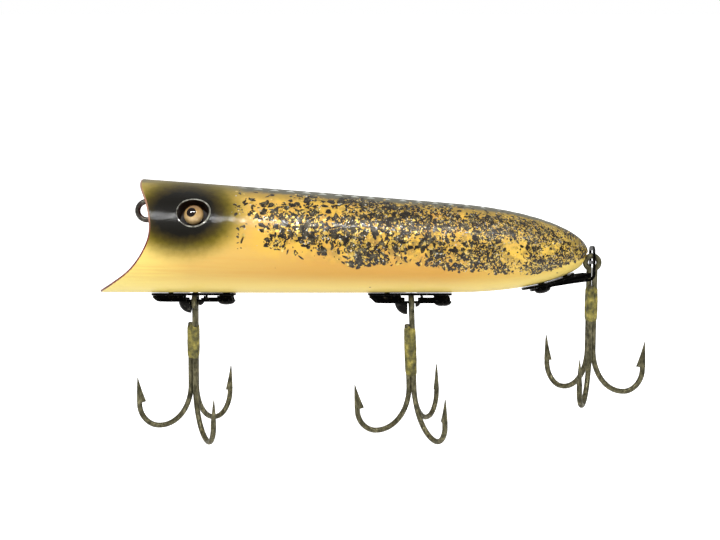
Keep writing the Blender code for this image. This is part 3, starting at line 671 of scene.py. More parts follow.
def pale_card(settings):
    """Matt white card under and behind the lure, which the camera sees evenly lit, without a horizon."""
    made, tree, shader = new_material("matt_white_card", roughness=0.9)
    seen = add_node(tree, "ShaderNodeLightPath", output="Is Camera Ray")
    glow = add_node(tree, MATH, (seen, settings.glow), **TIMES)
    white = (1, 1, 1, 1)
    colour = (*settings.card, 1.0)
    feed(tree, shader, {"Base Color": colour, "Emission Color": white, "Emission Strength": glow})
    return made


MAKERS = {
    "wood": painted_wood,
    "mouth": red_paint,
    "lip": lip_paint,
    "bead": tan_glass,
    "pupil": dark_glass,
    "socket": socket_lacquer,
    "rim": rim_painted_highlight,
    "tie": tie_steel,
    "nickel": dark_nickel,
    "steel": hook_steel,
    "braze": braze_metal,
    "card": pale_card,
}
made_materials = {}


def finish(name):
    """A material by its short name, made once."""
    if name not in made_materials:
        made_materials[name] = MAKERS[name](bpy.context.scene.popper)
    return made_materials[name]


# ---- settings ----


class PopperSettings(bpy.types.PropertyGroup):
    """Sizes, flake counts and lights that a user may change"""

    sides: IntProperty(name="Body sides", description="Facets round the plug", default=160, min=48, max=320)
    rim: FloatProperty(
        name="Rim", description="Rounding of the mouth's edge in millimetres", default=0.35, min=0.05
    )
    wire: FloatProperty(
        name="Hook wire",
        description="Radius of the hooks' wire",
        default=0.00055,
        unit="LENGTH",
        subtype="DISTANCE",
    )
    tie: FloatProperty(
        name="Tie wire",
        description="Radius of the line tie's wire",
        default=0.00055,
        unit="LENGTH",
        subtype="DISTANCE",
    )
    dark_flakes: IntProperty(
        name="Dark flakes", description="Dark flakes per square centimetre", default=820, min=0
    )
    gold_flakes: IntProperty(
        name="Gold flakes", description="Gold flakes per square centimetre", default=330, min=0
    )
    white_flakes: IntProperty(
        name="Bright flakes", description="Bright flakes per square centimetre", default=130, min=0
    )
    seed: IntProperty(name="Seed", description="Seed of the scattered flakes", default=11)
    fill: FloatProperty(
        name="Fill", description="Strength of the room's light on the lure", default=0.12, min=0
    )
    glow: FloatProperty(name="Glow", description="Brightness of the card to the camera", default=0.9, min=0)
    card: FloatVectorProperty(
        name="Card",
        description="Colour of the floor",
        default=(0.93, 0.93, 0.93),
        subtype="COLOR",
        min=0,
        max=1,
    )


# ---- body ----


class POPPER_OT_body(bpy.types.Operator):
    """Turned plug with its scooped mouth, eye sockets and recesses"""

    bl_idname = "popper.body"
    bl_label = "Body"

    def execute(self, context):
        settings = context.scene.popper
        sides, ease = settings.sides, settings.rim
        rows, bend, face_rows = 150, 6, 23
        bm = bmesh.new()
        columns = []
        for i in range(sides):
            angle = 2 * pi * i / sides
            start = rim_x(angle)
            away = Vector((0, sin(angle), cos(angle)))
            column = []
            # The mouth's face from its middle out, then the rounded rim, then the skin to the tail
            edge = body_radius(start) - ease
            for k in range(1, face_rows + 1):
                spot = away * edge * k / face_rows
                column.append((Vector((mouth_x(spot.z) if spot.z > MOUTH_FLOOR else start, 0, 0)) + spot, 1))
            for k in range(1, bend + 1):
                turn = pi / 2 * k / bend
                x = start + ease * (1 - cos(turn))
                column.append((Vector((x, 0, 0)) + away * (body_radius(start) - ease * (1 - sin(turn))), 2))
            first = start + ease
            for k in range(1, rows):
                t = k / rows
                x = first + (TAIL_X - first) * (1 - (1 - t) ** 1.35)
                column.append((Vector((x, 0, 0)) + away * body_radius(x), 0))
            columns.append(column)
        middle = bm.verts.new((mouth_x(0), 0, 0))
        end = bm.verts.new((TAIL_X, 0, 0))
        grid = [[bm.verts.new(place) for place, _ in column] for column in columns]
        for i in range(sides):
            one, other = grid[i], grid[(i + 1) % sides]
            bm.faces.new((middle, one[0], other[0])).material_index = 1
            for k in range(len(one) - 1):
                face = bm.faces.new((one[k], one[k + 1], other[k + 1], other[k]))
                face.material_index = columns[i][k + 1][1]
            bm.faces.new((one[-1], end, other[-1]))
        materials = [finish("wood"), finish("mouth"), finish("lip")]
        body = shape("painted_plug", bm, materials, None, turn=PLUG)
        cutters = []
        for side in (-1, 1):
            turn = eye_turn(side)
            profile = [(0, -SOCKET_DEPTH), (SOCKET_RADIUS, -SOCKET_DEPTH), (SOCKET_RADIUS, 4), (0, 4)]
            oval = turn @ Matrix.Diagonal((*squash(turn), 1, 1))
            cutters.append(helper(f"socket {side}", turned(profile, oval, 64), turn=None))
        wider, half = TIE_POCKET
        cutters.append(helper("tie pocket", rod(TIE_RING + wider, (0, -half, 0), (0, half, 0), 40)))
        for x, top, drop in HANGERS.values():
            bar_z = top - drop
            cutters.append(helper("eye recess", rod(EYE_RECESS, (x - 1.2, 0, bar_z), (x + 1.2, 0, bar_z), 40)))
        x, z = TAIL_PIVOT
        cutters.append(helper("tail recess", rod(TAIL_RECESS, (x, -1.7, z), (x, 1.7, z), 40)))
        cut(body, cutters)
        body.data.shade_smooth()
        body.data.set_sharp_from_angle(angle=radians(35))
        settle(body, "lure", ["body"])
        return {"FINISHED"}


# Each foil's name, stops, roughness, metal and coat
SMOKE = ((0.3, "#0F0C06"), (0.48, "#241C10"), (0.6, "#4E4630"), (0.75, "#8A8062"))
SMOKED = ("smoked_foil", SMOKE, 0.4, 0.3, 0.5)
GOLD = ("gold_foil", ((0.3, "#B58A30"), (0.5, "#E8C050"), (0.7, "#F8E08A")), 0.3, 0.55, 0.8)
BRIGHT = ("bright_foil", ((0.3, "#D8D2B8"), (0.6, "#FFFDF2")), 0.2, 0.4, 1.0)
# Each flake's name, setting, least and greatest size in metres, tilt, corners, raggedness and foil
FLAKES = (
    ("dark_flitter", "dark_flakes", 0.00018, 0.0011, 0.08, 7, 1.1, SMOKED),
    ("gold_flitter", "gold_flakes", 0.0002, 0.0008, 0.12, 6, 0.8, GOLD),
    ("bright_flitter", "white_flakes", 0.00015, 0.00045, 0.25, 5, 0.7, BRIGHT),
)
PER_SQUARE_CM = 1e4
FLITTER_FORE, FLITTER_AFT = 15, 88.2


def fade(value, start, span):
    """0 up to the start, then a straight rise to 1 over the span."""
    return min(1, max(0, (value - start) / span))


def flitter_cover(x, share, place):
    """How thickly flitter lies at a point of the side: 0 bare, 1 full."""
    # Its lower edge sinks towards the tail, and lifts again where the plug rounds off
    lower = -0.2
    for start, span, sink in ((24, 16, 0.24), (56, 10, 0.1), (68, 10, 0.15), (78, 6, -0.16)):
        lower -= sink * fade(x, start, span)
    wave = 0.1 * noise.noise(place * 0.2)
    low = fade(share, lower + wave, 0.06)
    high = fade(0.93, share, 0.1)
    fore = fade(x, 17, 20) ** 1.1
    patch = noise.noise(place * 0.2 + Vector((7, 3, 1))) + 0.5 * noise.noise(place * 0.6)
    aft = 1 + 1.3 * fade(x, 55, 22)
    return low * high * fore * aft * min(1.5, max(0.1, 0.75 + 2.1 * patch))


def flake_shapes(count, lobes, rough, seed):
    """A collection of irregular foil scraps of unit size, each a low fan."""
    group = bpy.data.collections.new("flake shapes")
    bpy.context.scene.collection.children.link(group)
    for i in range(count):
        bm = bmesh.new()
        top = bm.verts.new((0.05, 0.02, 0.00004))
        ring = []
        for k in range(lobes):
            angle = 2 * pi * (k + 0.35 * noise.noise(Vector((k * 1.7, i * 3.1, seed)))) / lobes
            reach = 0.5 * (1 + rough * noise.noise(Vector((k * 2.3 + 0.4, i * 5.7 + 0.7, seed + 2.0))))
            ring.append(bm.verts.new((reach * cos(angle), reach * sin(angle), 0.00001)))
        for one, other in zip(ring, ring[1:] + ring[:1]):
            bm.faces.new((top, one, other))
        mesh = bpy.data.meshes.new(f"flake {i}")
        bm.to_mesh(mesh)
        bm.free()
        group.objects.link(bpy.data.objects.new(f"flake {i}", mesh))
    return group


def scatter_tree():
    """Geometry Nodes that scatter foil scraps over a surface where its cover attribute allows."""
    tree = bpy.data.node_groups.new("Flitter", "GeometryNodeTree")
    sockets = {}
    for name, kind in (
        ("Geometry", "NodeSocketGeometry"),
        ("Shapes", "NodeSocketCollection"),
        ("Density", "NodeSocketFloat"),
        ("Smallest", "NodeSocketFloat"),
        ("Largest", "NodeSocketFloat"),
        ("Tilt", "NodeSocketFloat"),
        ("Seed", "NodeSocketInt"),
        ("Material", "NodeSocketMaterial"),
    ):
        sockets[name] = tree.interface.new_socket(name, in_out="INPUT", socket_type=kind).identifier
    tree.interface.new_socket("Geometry", in_out="OUTPUT", socket_type="NodeSocketGeometry")
    given = add_node(tree, "NodeGroupInput", output=None)
    cover, coarse = [
        add_node(tree, "GeometryNodeInputNamedAttribute", {"Name": name}, data_type="FLOAT")
        for name in ("cover", "coarse")
    ]
    density = add_node(tree, MATH, (given["Density"], cover), **TIMES)
    points = add_node(
        tree,
        "GeometryNodeDistributePointsOnFaces",
        {"Mesh": given["Geometry"], "Density": density, "Seed": given["Seed"]},
        None,
    )
    shapes = add_node(
        tree,
        "GeometryNodeCollectionInfo",
        {"Collection": given["Shapes"], "Separate Children": True, "Reset Children": True},
    )
    pick = add_node(tree, RANDOM, {4: 0, 5: 40, "Seed": given["Seed"]}, 2, data_type="INT")
    # Most flakes are small, and each is narrower one way than the other
    chance = add_node(tree, RANDOM, {2: 0.0, 3: 1.0, "Seed": 5}, 1, data_type="FLOAT")
    skew = add_node(tree, MATH, (chance, 2.2), operation="POWER")
    span = add_node(tree, MATH, (given["Largest"], given["Smallest"]), **MINUS)
    size = add_node(tree, MATH, (skew, span, given["Smallest"]), operation="MULTIPLY_ADD")
    size = add_node(tree, MATH, (size, coarse), **TIMES)
    thin = add_node(tree, RANDOM, {2: 0.3, 3: 1.0, "Seed": 9}, 1, data_type="FLOAT")
    across = add_node(tree, MATH, (size, thin), **TIMES)
    placed = add_node(
        tree,
        "GeometryNodeInstanceOnPoints",
        {
            "Points": points["Points"],
            "Instance": shapes,
            "Pick Instance": True,
            "Instance Index": pick,
            "Rotation": points["Rotation"],
            "Scale": add_node(tree, "ShaderNodeCombineXYZ", (size, across, 1.0)),
        },
    )
    minus = add_node(tree, MATH, (given["Tilt"], -1.0), **TIMES)
    low = add_node(tree, "ShaderNodeCombineXYZ", (minus, minus, 0.0))
    high = add_node(tree, "ShaderNodeCombineXYZ", (given["Tilt"], given["Tilt"], 2 * pi))
    spin = add_node(tree, RANDOM, {0: low, 1: high, "Seed": given["Seed"]}, data_type="FLOAT_VECTOR")
    leant = add_node(
        tree, "GeometryNodeRotateInstances", {"Instances": placed, "Rotation": spin, "Local Space": True}
    )
    real = add_node(tree, "GeometryNodeRealizeInstances", (leant,))
    coated = add_node(tree, "GeometryNodeSetMaterial", {"Geometry": real, "Material": given["Material"]})
    add_node(tree, "NodeGroupOutput", (coated,), None)
    return tree, sockets


def flitter_ground():
    """A thin tube over the skin, in metres, whose points say how thickly and coarsely flitter lies there."""
    bm = bmesh.new()
    cover = bm.verts.layers.float.new("cover")
    coarse = bm.verts.layers.float.new("coarse")
    columns, rows = 150, 90
    grid = []
    for i in range(columns + 1):
        x = FLITTER_FORE + (FLITTER_AFT - FLITTER_FORE) * i / columns
        radius = body_radius(x) + 0.01
        line = []
        for k in range(2 * rows):
            angle = pi * (k + 0.5) / rows
            spot = Vector((x, radius * sin(angle), radius * cos(angle)))
            vert = bm.verts.new(spot)
            vert[cover] = flitter_cover(x, cos(angle), spot)
            vert[coarse] = 1.3 - 0.6 * fade(x, 50, 26)
            line.append(vert)
        grid.append(line)
    for one, other in zip(grid, grid[1:]):
        for k in range(2 * rows):
            j = (k + 1) % (2 * rows)
            bm.faces.new((one[k], one[j], other[j], other[k]))
    bmesh.ops.transform(bm, matrix=PLUG, verts=bm.verts)
    bmesh.ops.recalc_face_normals(bm, faces=bm.faces)
    outward = 0.0
    for face in bm.faces:
        centre = face.calc_center_median()
        outward += face.normal.dot(centre - PLUG @ Vector((centre.x, 0, 0)))
    if outward < 0:
        bmesh.ops.reverse_faces(bm, faces=bm.faces)
    bmesh.ops.scale(bm, verts=bm.verts, vec=(MM, MM, MM))
    return bm


class POPPER_OT_flitter(bpy.types.Operator):
    """Dark, gold and bright flakes of foil scattered over both sides of the body"""

    bl_idname = "popper.flitter"
    bl_label = "Flitter"

    def execute(self, context):
        settings = context.scene.popper
        tree, sockets = scatter_tree()
        for number, (name, count, small, large, tilt, corners, ragged, foil) in enumerate(FLAKES):
            shapes = flake_shapes(10, corners, ragged, number * 3.7)
            bm = flitter_ground()
            mesh = bpy.data.meshes.new(name)
            bm.to_mesh(mesh)
            bm.free()
            piece = bpy.data.objects.new(name, mesh)
            context.scene.collection.objects.link(piece)
            modifier = piece.modifiers.new("flitter", "NODES")
            modifier.node_group = tree
            for key, value in (
                ("Shapes", shapes),
                ("Density", getattr(settings, count) * PER_SQUARE_CM),
                ("Smallest", small),
                ("Largest", large),
                ("Tilt", tilt),
                ("Seed", settings.seed + number),
                ("Material", cut_foil(*foil)),
            ):
                modifier[sockets[key]] = value
            context.view_layer.update()
            baked(piece)
            for item in list(shapes.objects):
                bpy.data.objects.remove(item)
            bpy.data.collections.remove(shapes)
            settle(piece, "lure")
        return {"FINISHED"}


# ---- eyes and line tie ----


# The lining's (radius, height) outline: its rounded rim, measured from the skin, then its cup
RIM = (
    (3.1, -0.3), (3.12, 0.02), (3.2, 0.09), (3.3, 0.1), (3.38, 0.05), (3.42, -0.06), (3.3, -0.12),
    (3.19, -0.3),
)
CUP = ((3.18, -2.9), (2.8, -3.03), (0.5, -3.03), (0.5, -2.97), (2.7, -2.95), (3.0, -2.6))


def skin_under(fall):
    """The height of the skin beside an eye, at a distance round the plug."""
    radius = body_radius(EYE_X)
    return sqrt(radius**2 - fall**2) - radius


class POPPER_OT_eyes(bpy.types.Operator):
    """Glass beads with dark pupils in lacquered sockets, each on its wire stem"""

    bl_idname = "popper.eyes"
    bl_label = "Eyes"

    def execute(self, context):
        # Where the pupil's edge meets the bead
        edge = BEAD_HALF_HEIGHT * sqrt(1 - (PUPIL_RADIUS / BEAD_RADIUS) ** 2)
        steps = 22
        low, high = asin(-0.85), asin(edge / BEAD_HALF_HEIGHT)
        bead = [(0, -0.85 * BEAD_HALF_HEIGHT)]
        for i in range(steps + 1):
            angle = low + (high - low) * i / steps
            bead.append((BEAD_RADIUS * cos(angle), BEAD_HALF_HEIGHT * sin(angle)))
        bead.append((0, bead[-1][1] - 0.02))
        pupil = [(0, edge - 0.25), (PUPIL_RADIUS, edge - 0.25)]
        for i in range(9):
            angle = pi / 2 * i / 8
            pupil.append((PUPIL_RADIUS * cos(angle), edge + (BEAD_HALF_HEIGHT - edge) * sin(angle)))
        for side, name in ((-1, "left"), (1, "right")):
            for part, profile, sides, material, slot in (
                ("bead", bead, 56, "bead", "tan_glass"),
                ("pupil", pupil, 40, "pupil", "black_glass"),
            ):
                glass = turned(profile, bead_turn(side), sides)
                shape(f"{name}_{part}", glass, [finish(material)], "lure", [f"{name}_eye_{part}"])

            # The lining: a cup of lacquer whose rounded rim stands just proud of the wood all round
            seat = eye_turn(side)
            wide, tall = squash(seat)
            # The wood falls away above and below, which is along the eye's Y or its X
            falling = 1 if tall < 1 else 0
            bm = bmesh.new()
            rings = []
            for i in range(72):
                angle = 2 * pi * i / 72
                across = Vector((wide * cos(angle), tall * sin(angle), 0))
                ring = []
                for wall, lift in RIM:
                    lifted = Vector((0, 0, skin_under(wall * across[falling]) + lift))
                    ring.append(bm.verts.new(across * wall + lifted))
                for wall, depth in CUP:
                    ring.append(bm.verts.new(across * wall + Vector((0, 0, depth))))
                rings.append(ring)
            skin(bm, rings, closed=True)
            # The rim's faces take the second slot, whose pale grey is a painted highlight
            for face in bm.faces:
                heights = [vert.co.z - skin_under(vert.co[falling]) for vert in face.verts]
                face.material_index = int(min(heights) > -0.08)
            lining = [finish("socket"), finish("rim")]
            shape(f"{name}_socket_lining", bm, lining, "lure", turn=seat)
        for node in ("left_eye_stem", "right_eye_stem"):
            recoat(frame["nodes"][node], finish("tie"))
        return {"FINISHED"}


def recoat(obj, material):
    """Gives a carried-over CAD object a detailed material."""
    for slot in obj.material_slots:
        slot.material = material


class POPPER_OT_line_tie(bpy.types.Operator):
    """Screw eye in the mouth: its ring runs right round and stops short of the shank"""

    bl_idname = "popper.line_tie"
    bl_label = "Line tie"

    def execute(self, context):
        radius = context.scene.popper.tie / MM
        ring, none = TIE_RING, Vector()
        stations = [(Vector((14.0, 0, 0)), 0.12, none), (Vector((11.6, 0, 0)), radius, none)]
        stations += [(Vector((ring + 1.4 - 0.2 * i, 0, -0.05 * i)), radius, none) for i in range(4)]
        start, end, steps = radians(-13), radians(-327), 72
        for i in range(steps + 1):
            angle = start + (end - start) * i / steps
            stations.append((Vector((ring * cos(angle), 0, ring * sin(angle))), radius, none))
        tip = stations[-1][0]
        onward = (tip - stations[-2][0]).normalized()
        stations.append((tip + onward * 0.12, radius * 0.82, none))
        stations.append((tip + onward * 0.18, radius * 0.5, none))
        tie = wire(stations, 24)
        shape("line_tie_eye", tie, [finish("tie")], "lure", ["line_tie"], LEANED)
        return {"FINISHED"}


# ---- hangers ----


def plate_outline(fore, aft, half, steps=6, blunt=1.3):
    """(x, half width) stations of a strip whose ends are rounded in plan."""
    found = []
    for i in range(steps + 1):
        turn = pi / 2 * i / steps
        found.append((fore + blunt * (1 - cos(turn)), max(0.12, half * sin(turn) ** 0.8)))
    found += [(fore + blunt + (aft - fore - 2 * blunt) * k / 8, half) for k in range(1, 8)]
    for i in range(steps + 1):
        turn = pi / 2 * (1 - i / steps)
        found.append((aft - blunt * (1 - cos(turn)), max(0.12, half * sin(turn) ** 0.8)))
    return found


def visor(centre, reach, half_width, direction, wall=0.3):
    """A quarter dome of sheet, with its thickness, that hangs under the bar."""
    bm = bmesh.new()
    across, down = 24, 14
    shells = []
    for inset in (0, wall):
        rows = []
        for i in range(down + 1):
            turn = pi / 2 * i / down
            row = []
            for k in range(across + 1):
                angle = pi * k / across
                out = (reach - inset) * sin(angle)
                y = (half_width - inset) * cos(angle)
                spot = Vector((direction * out * cos(turn), y, -out * sin(turn)))
                row.append(bm.verts.new(Vector(centre) + spot))
            rows.append(row)
        shells.append(rows)
        for i in range(down):
            for k in range(across):
                bm.faces.new((rows[i][k], rows[i][k + 1], rows[i + 1][k + 1], rows[i + 1][k]))
    outer, inner = shells
    for i in (0, down):
        for k in range(across):
            bm.faces.new((outer[i][k], outer[i][k + 1], inner[i][k + 1], inner[i][k]))
    bmesh.ops.remove_doubles(bm, verts=bm.verts, dist=1e-4)
    bmesh.ops.dissolve_degenerate(bm, edges=bm.edges, dist=1e-5)
    return bm


def screw_tree():
    """Geometry Nodes that set a slotted screw on every point, sized and turned by the point's attributes."""
    tree = bpy.data.node_groups.new("Hanger screws", "GeometryNodeTree")
    sockets = {}
    for name, kind in (
        ("Geometry", "NodeSocketGeometry"),
        ("Screw", "NodeSocketObject"),
        ("Material", "NodeSocketMaterial"),
    ):
        sockets[name] = tree.interface.new_socket(name, in_out="INPUT", socket_type=kind).identifier
    tree.interface.new_socket("Geometry", in_out="OUTPUT", socket_type="NodeSocketGeometry")
    given = add_node(tree, "NodeGroupInput", output=None)
    part = add_node(tree, "GeometryNodeObjectInfo", {"Object": given["Screw"]}, "Geometry")
    aim, size = [
        add_node(tree, "GeometryNodeInputNamedAttribute", {"Name": name}, data_type="FLOAT_VECTOR")
        for name in ("aim", "size")
    ]
    placed = add_node(
        tree,
        "GeometryNodeInstanceOnPoints",
        {"Points": given["Geometry"], "Instance": part, "Rotation": aim, "Scale": size},
    )
    real = add_node(tree, "GeometryNodeRealizeInstances", (placed,))
    coated = add_node(tree, "GeometryNodeSetMaterial", {"Geometry": real, "Material": given["Material"]})
    add_node(tree, "NodeGroupOutput", (coated,), None)
    return tree, sockets


class POPPER_OT_screws(bpy.types.Operator):
    """Slotted screws that hold the hangers"""

    bl_idname = "popper.screws"
    bl_label = "Screws"

    def execute(self, context):
        head, shank = 1.0, 0.43
        profile = [(0, -1.0)]
        profile += [(head * sin(pi / 2 * i / 10), -cos(pi / 2 * i / 10)) for i in range(1, 11)]
        profile += [(shank, 0.0), (shank, 3.0), (0, 3.1)]
        pattern = shape("screw pattern", turned(profile, Matrix.Identity(4), 40), [], None)
        slot = helper("slot", box_shape((-0.13, -2, -2), (0.13, 2, -0.5)), turn=None)
        cut(pattern, [slot])
        ease_edges(pattern, 0.05, 35)
        points, aims, sizes, replaced = [], [], [], []
        up = LEANED.to_3x3() @ Vector((0, 0, 1))
        for name, (x, top, drop) in HANGERS.items():
            for place, offset, z, radius, tall in (
                ("fore", -4.9, top - SHEET - SEAM, 1.2, 0.45),
                ("aft", 6.3, top - drop - SHEET / 2 - 0.03, 1.62, 0.6),
            ):
                points.append(LEANED @ Vector((x + offset, 0, z)))
                aims.append(up)
                sizes.append((radius, radius, tall))
                replaced.append(f"{name}_hanger_screw_{place}")
        for place, x, lift, radius, tall in (
            ("fore", 79.5, 2 * SHEET + 0.3, 1.62, 0.8),
            ("aft", 84.3, SHEET + 0.16, 1.2, 0.4),
        ):
            base, normal = tail_seat(x)
            points.append(LEANED @ (base + normal * lift))
            aims.append(LEANED.to_3x3() @ -normal)
            sizes.append((radius, radius, tall))
            replaced.append(f"tail_hanger_screw_{place}")
        mesh = bpy.data.meshes.new("hanger_screws")
        mesh.from_pydata([point * MM for point in points], [], [])
        aim_layer = mesh.attributes.new("aim", "FLOAT_VECTOR", "POINT")
        size_layer = mesh.attributes.new("size", "FLOAT_VECTOR", "POINT")
        for i, (aim, size) in enumerate(zip(aims, sizes)):
            turn = aim.to_track_quat("Z", "Y").to_matrix() @ Matrix.Rotation(0.6 + 0.9 * i, 3, "Z")
            aim_layer.data[i].vector = turn.to_euler()
            size_layer.data[i].vector = size
        piece = bpy.data.objects.new("hanger_screws", mesh)
        context.scene.collection.objects.link(piece)
        tree, sockets = screw_tree()
        modifier = piece.modifiers.new("screws", "NODES")
        modifier.node_group = tree
        modifier[sockets["Screw"]] = pattern
        modifier[sockets["Material"]] = finish("nickel")
        context.view_layer.update()
        baked(piece)
        bpy.data.objects.remove(pattern)
        settle(piece, "lure", replaced)
        return {"FINISHED"}


class POPPER_OT_belly_hangers(bpy.types.Operator):
    """Two sheet hangers on the belly: a plate, and a bar with ears, rails, a stop and a curb for the hook"""

    bl_idname = "popper.belly_hangers"
    bl_label = "Belly hangers"

    def execute(self, context):
        nickel = finish("nickel")
        for name, (pivot_x, top, drop) in HANGERS.items():
            plate_z = top - SHEET / 2
            bar_z = top - drop
            outline = plate_outline(PLATE_FORE, PLATE_AFT, PLATE_HALF_WIDTH)
            stations = [(pivot_x + x, plate_z, half) for x, half in outline]
            plate = shape(f"{name}_plate", ribbon(stations, SHEET), [nickel], None, turn=LEANED)
            window = box_shape((pivot_x - 0.9, -1.65, top - 1), (pivot_x + 0.9, 1.65, top + 1))
            cut(plate, [helper("window", window)])
            ease_edges(plate, 0.08)
            settle(plate, "lure", [f"{name}_hanger_plate"])

            # The bar rises to the plate at its fore end, and narrows to a bridge where the hook's eye hangs
            ear_top = top - SHEET - SEAM
            stations = []
            for x, half in plate_outline(PLATE_FORE + 0.3, PLATE_AFT - 0.1, BAR_HALF_WIDTH):
                rise = fade(-x, 6.9, 1.5)
                z = bar_z + (plate_z - SHEET - SEAM - bar_z) * rise * rise * (3 - 2 * rise)
                if abs(x) > 1.65:
                    stations.append((pivot_x + x, z, half))
            bridge = 0.33 * BAR_HALF_WIDTH
            for x, half in ((-1.6, BAR_HALF_WIDTH), (-1.15, bridge), (1.15, bridge), (1.6, BAR_HALF_WIDTH)):
                stations.append((pivot_x + x, bar_z, half))
            bar = shape(f"{name}_bar", ribbon(sorted(stations), SHEET), [nickel], None, turn=LEANED)
            ease_edges(bar, 0.09)
            extras = []
            low = bar_z - 0.12
            rail_top, rail_low = ear_top + SEAM - 0.45, bar_z - 0.2
            ears = ((-8.4, -6.7, -2.1, 0.9), (1.9, 1.9, 2.3, 0.8), (4.6, 4.6, 7.6, 0.9))
            for side in (-1, 1):
                for fore, foot, aft, share in ears:
                    outline = ((fore, ear_top), (aft, ear_top), (aft, low), (foot, low))
                    walls = [(pivot_x + x, z) for x, z in outline]
                    ear = slab(walls, side * BAR_HALF_WIDTH * share, 0.17)
                    extras.append(ease_edges(shape("ear", ear, [nickel], None, turn=LEANED), 0.06))
                for fore, aft in ((-6.9, -1.4), (1.4, 7.7)):
                    outline = ((fore, rail_top), (aft, rail_top), (aft, rail_low), (fore, rail_low))
                    walls = [(pivot_x + x, z) for x, z in outline]
                    rail = slab(walls, side * (BAR_HALF_WIDTH - 0.12), 0.12)
                    extras.append(ease_edges(shape("rail", rail, [nickel], None, turn=LEANED), 0.05))
            stop = visor((pivot_x - 0.85, 0, bar_z), STOP_REACH, 1.7, -1)
            extras.append(shape("stop", stop, [nickel], None, turn=LEANED, smooth=50))
            curb = visor((pivot_x + 0.85, 0, bar_z), 1.0, 1.2, 1)
            extras.append(shape("curb", curb, [nickel], None, turn=LEANED, smooth=50))
            join_into(bar, extras)
            settle(bar, "lure", [f"{name}_hanger_bar"])
        return {"FINISHED"}


def join_into(piece, others):
    """One mesh from several whose walls pass into each other."""
    bm = bmesh.new()
    bm.from_mesh(piece.data)
    for other in others:
        bm.from_mesh(other.data)
        bpy.data.objects.remove(other)
    bm.to_mesh(piece.data)
    bm.free()
    piece.data.shade_smooth()
    piece.data.set_sharp_from_angle(angle=radians(50))


class POPPER_OT_tail_hanger(bpy.types.Operator):
    """Plate under the tail and the strap that bends up round it"""

    bl_idname = "popper.tail_hanger"
    bl_label = "Tail hanger"

    def execute(self, context):
        nickel = finish("nickel")
        half = TAIL_HALF_WIDTH
        stations = []
        for x, width in plate_outline(75.5, 85.9, half):
            base, normal = tail_seat(x)
            middle = base + normal * (SHEET / 2 + 0.09)
            stations.append((middle.x, middle.z, width))
        plate = shape("tail_plate", ribbon(stations, SHEET), [nickel], None, turn=LEANED)
        ease_edges(plate, 0.08)
        # The plate's sides are folded down to the strap
        seats = [tail_seat(x) for x in (80.2, 82, 84, 86)]
        wall = [(base + normal * 0.55).xz.to_tuple() for base, normal in seats]
        wall += [(88.2, -12.5), (89.1, -12.6), (89.1, STRAP_CORNER_Z + 0.5), (88.3, STRAP_CORNER_Z + 0.2)]
        wall += [(84.8, STRAP_CORNER_Z - 0.3), (81.3, seats[0][0].z - 0.55)]
        sides = []
        for side in (-1, 1):
            fold = shape("fold", slab(wall, side * (half - 0.25), 0.15), [nickel], None, turn=LEANED)
            sides.append(ease_edges(fold, 0.05))
        join_into(plate, sides)
        settle(plate, "lure", ["tail_hanger_plate"])

        pivot_x, pivot_z = TAIL_PIVOT
        stations = []
        for i in range(7):
            turn = pi / 2 * i / 6
            x = 77.1 + 1.3 * (1 - cos(turn))
            base, normal = tail_seat(x)
            middle = base + normal * (1.5 * SHEET + 0.22)
            stations.append((middle.x, middle.z, max(0.15, half * sin(turn) ** 0.8)))
        for x in (79.5, 81.3):
            base, normal = tail_seat(x)
            middle = base + normal * (1.5 * SHEET + 0.22)
            stations.append((middle.x, middle.z, half))
        corner = 1.3
        corner_x, corner_z = pivot_x - corner, STRAP_CORNER_Z + corner
        stations.append((84.8, STRAP_CORNER_Z - 0.5, half))
        for i in range(11):
            angle = -pi / 2 + pi / 2 * i / 10
            stations.append((corner_x + corner * cos(angle), corner_z + corner * sin(angle), half))
        stations.append((pivot_x, pivot_z, half))
        for i in range(7):
            turn = pi / 2 * (1 - i / 6)
            stations.append((pivot_x, STRAP_TOP_Z - 1.2 * (1 - cos(turn)), max(0.5, half * sin(turn) ** 0.7)))
        strap = shape("tail_strap", ribbon(stations, SHEET), [nickel], None, turn=LEANED)
        slot, window = 1.65, 1.5
        low = box_shape((pivot_x - 1.9, -slot, -16), (pivot_x + 1, slot, pivot_z - 0.32))
        high = box_shape((pivot_x - 1, -window, pivot_z + 0.32), (pivot_x + 1, window, STRAP_TOP_Z - 0.9))
        cutters = [helper("slot", low), helper("window", high)]
        cut(strap, cutters)
        ease_edges(strap, 0.08)
        settle(strap, "lure", ["tail_hanger_strap"])
        return {"FINISHED"}


# ---- trebles ----


def compass(angle):
    """A level direction, from +X round towards -Y."""
    return Vector((cos(angle), -sin(angle), 0))


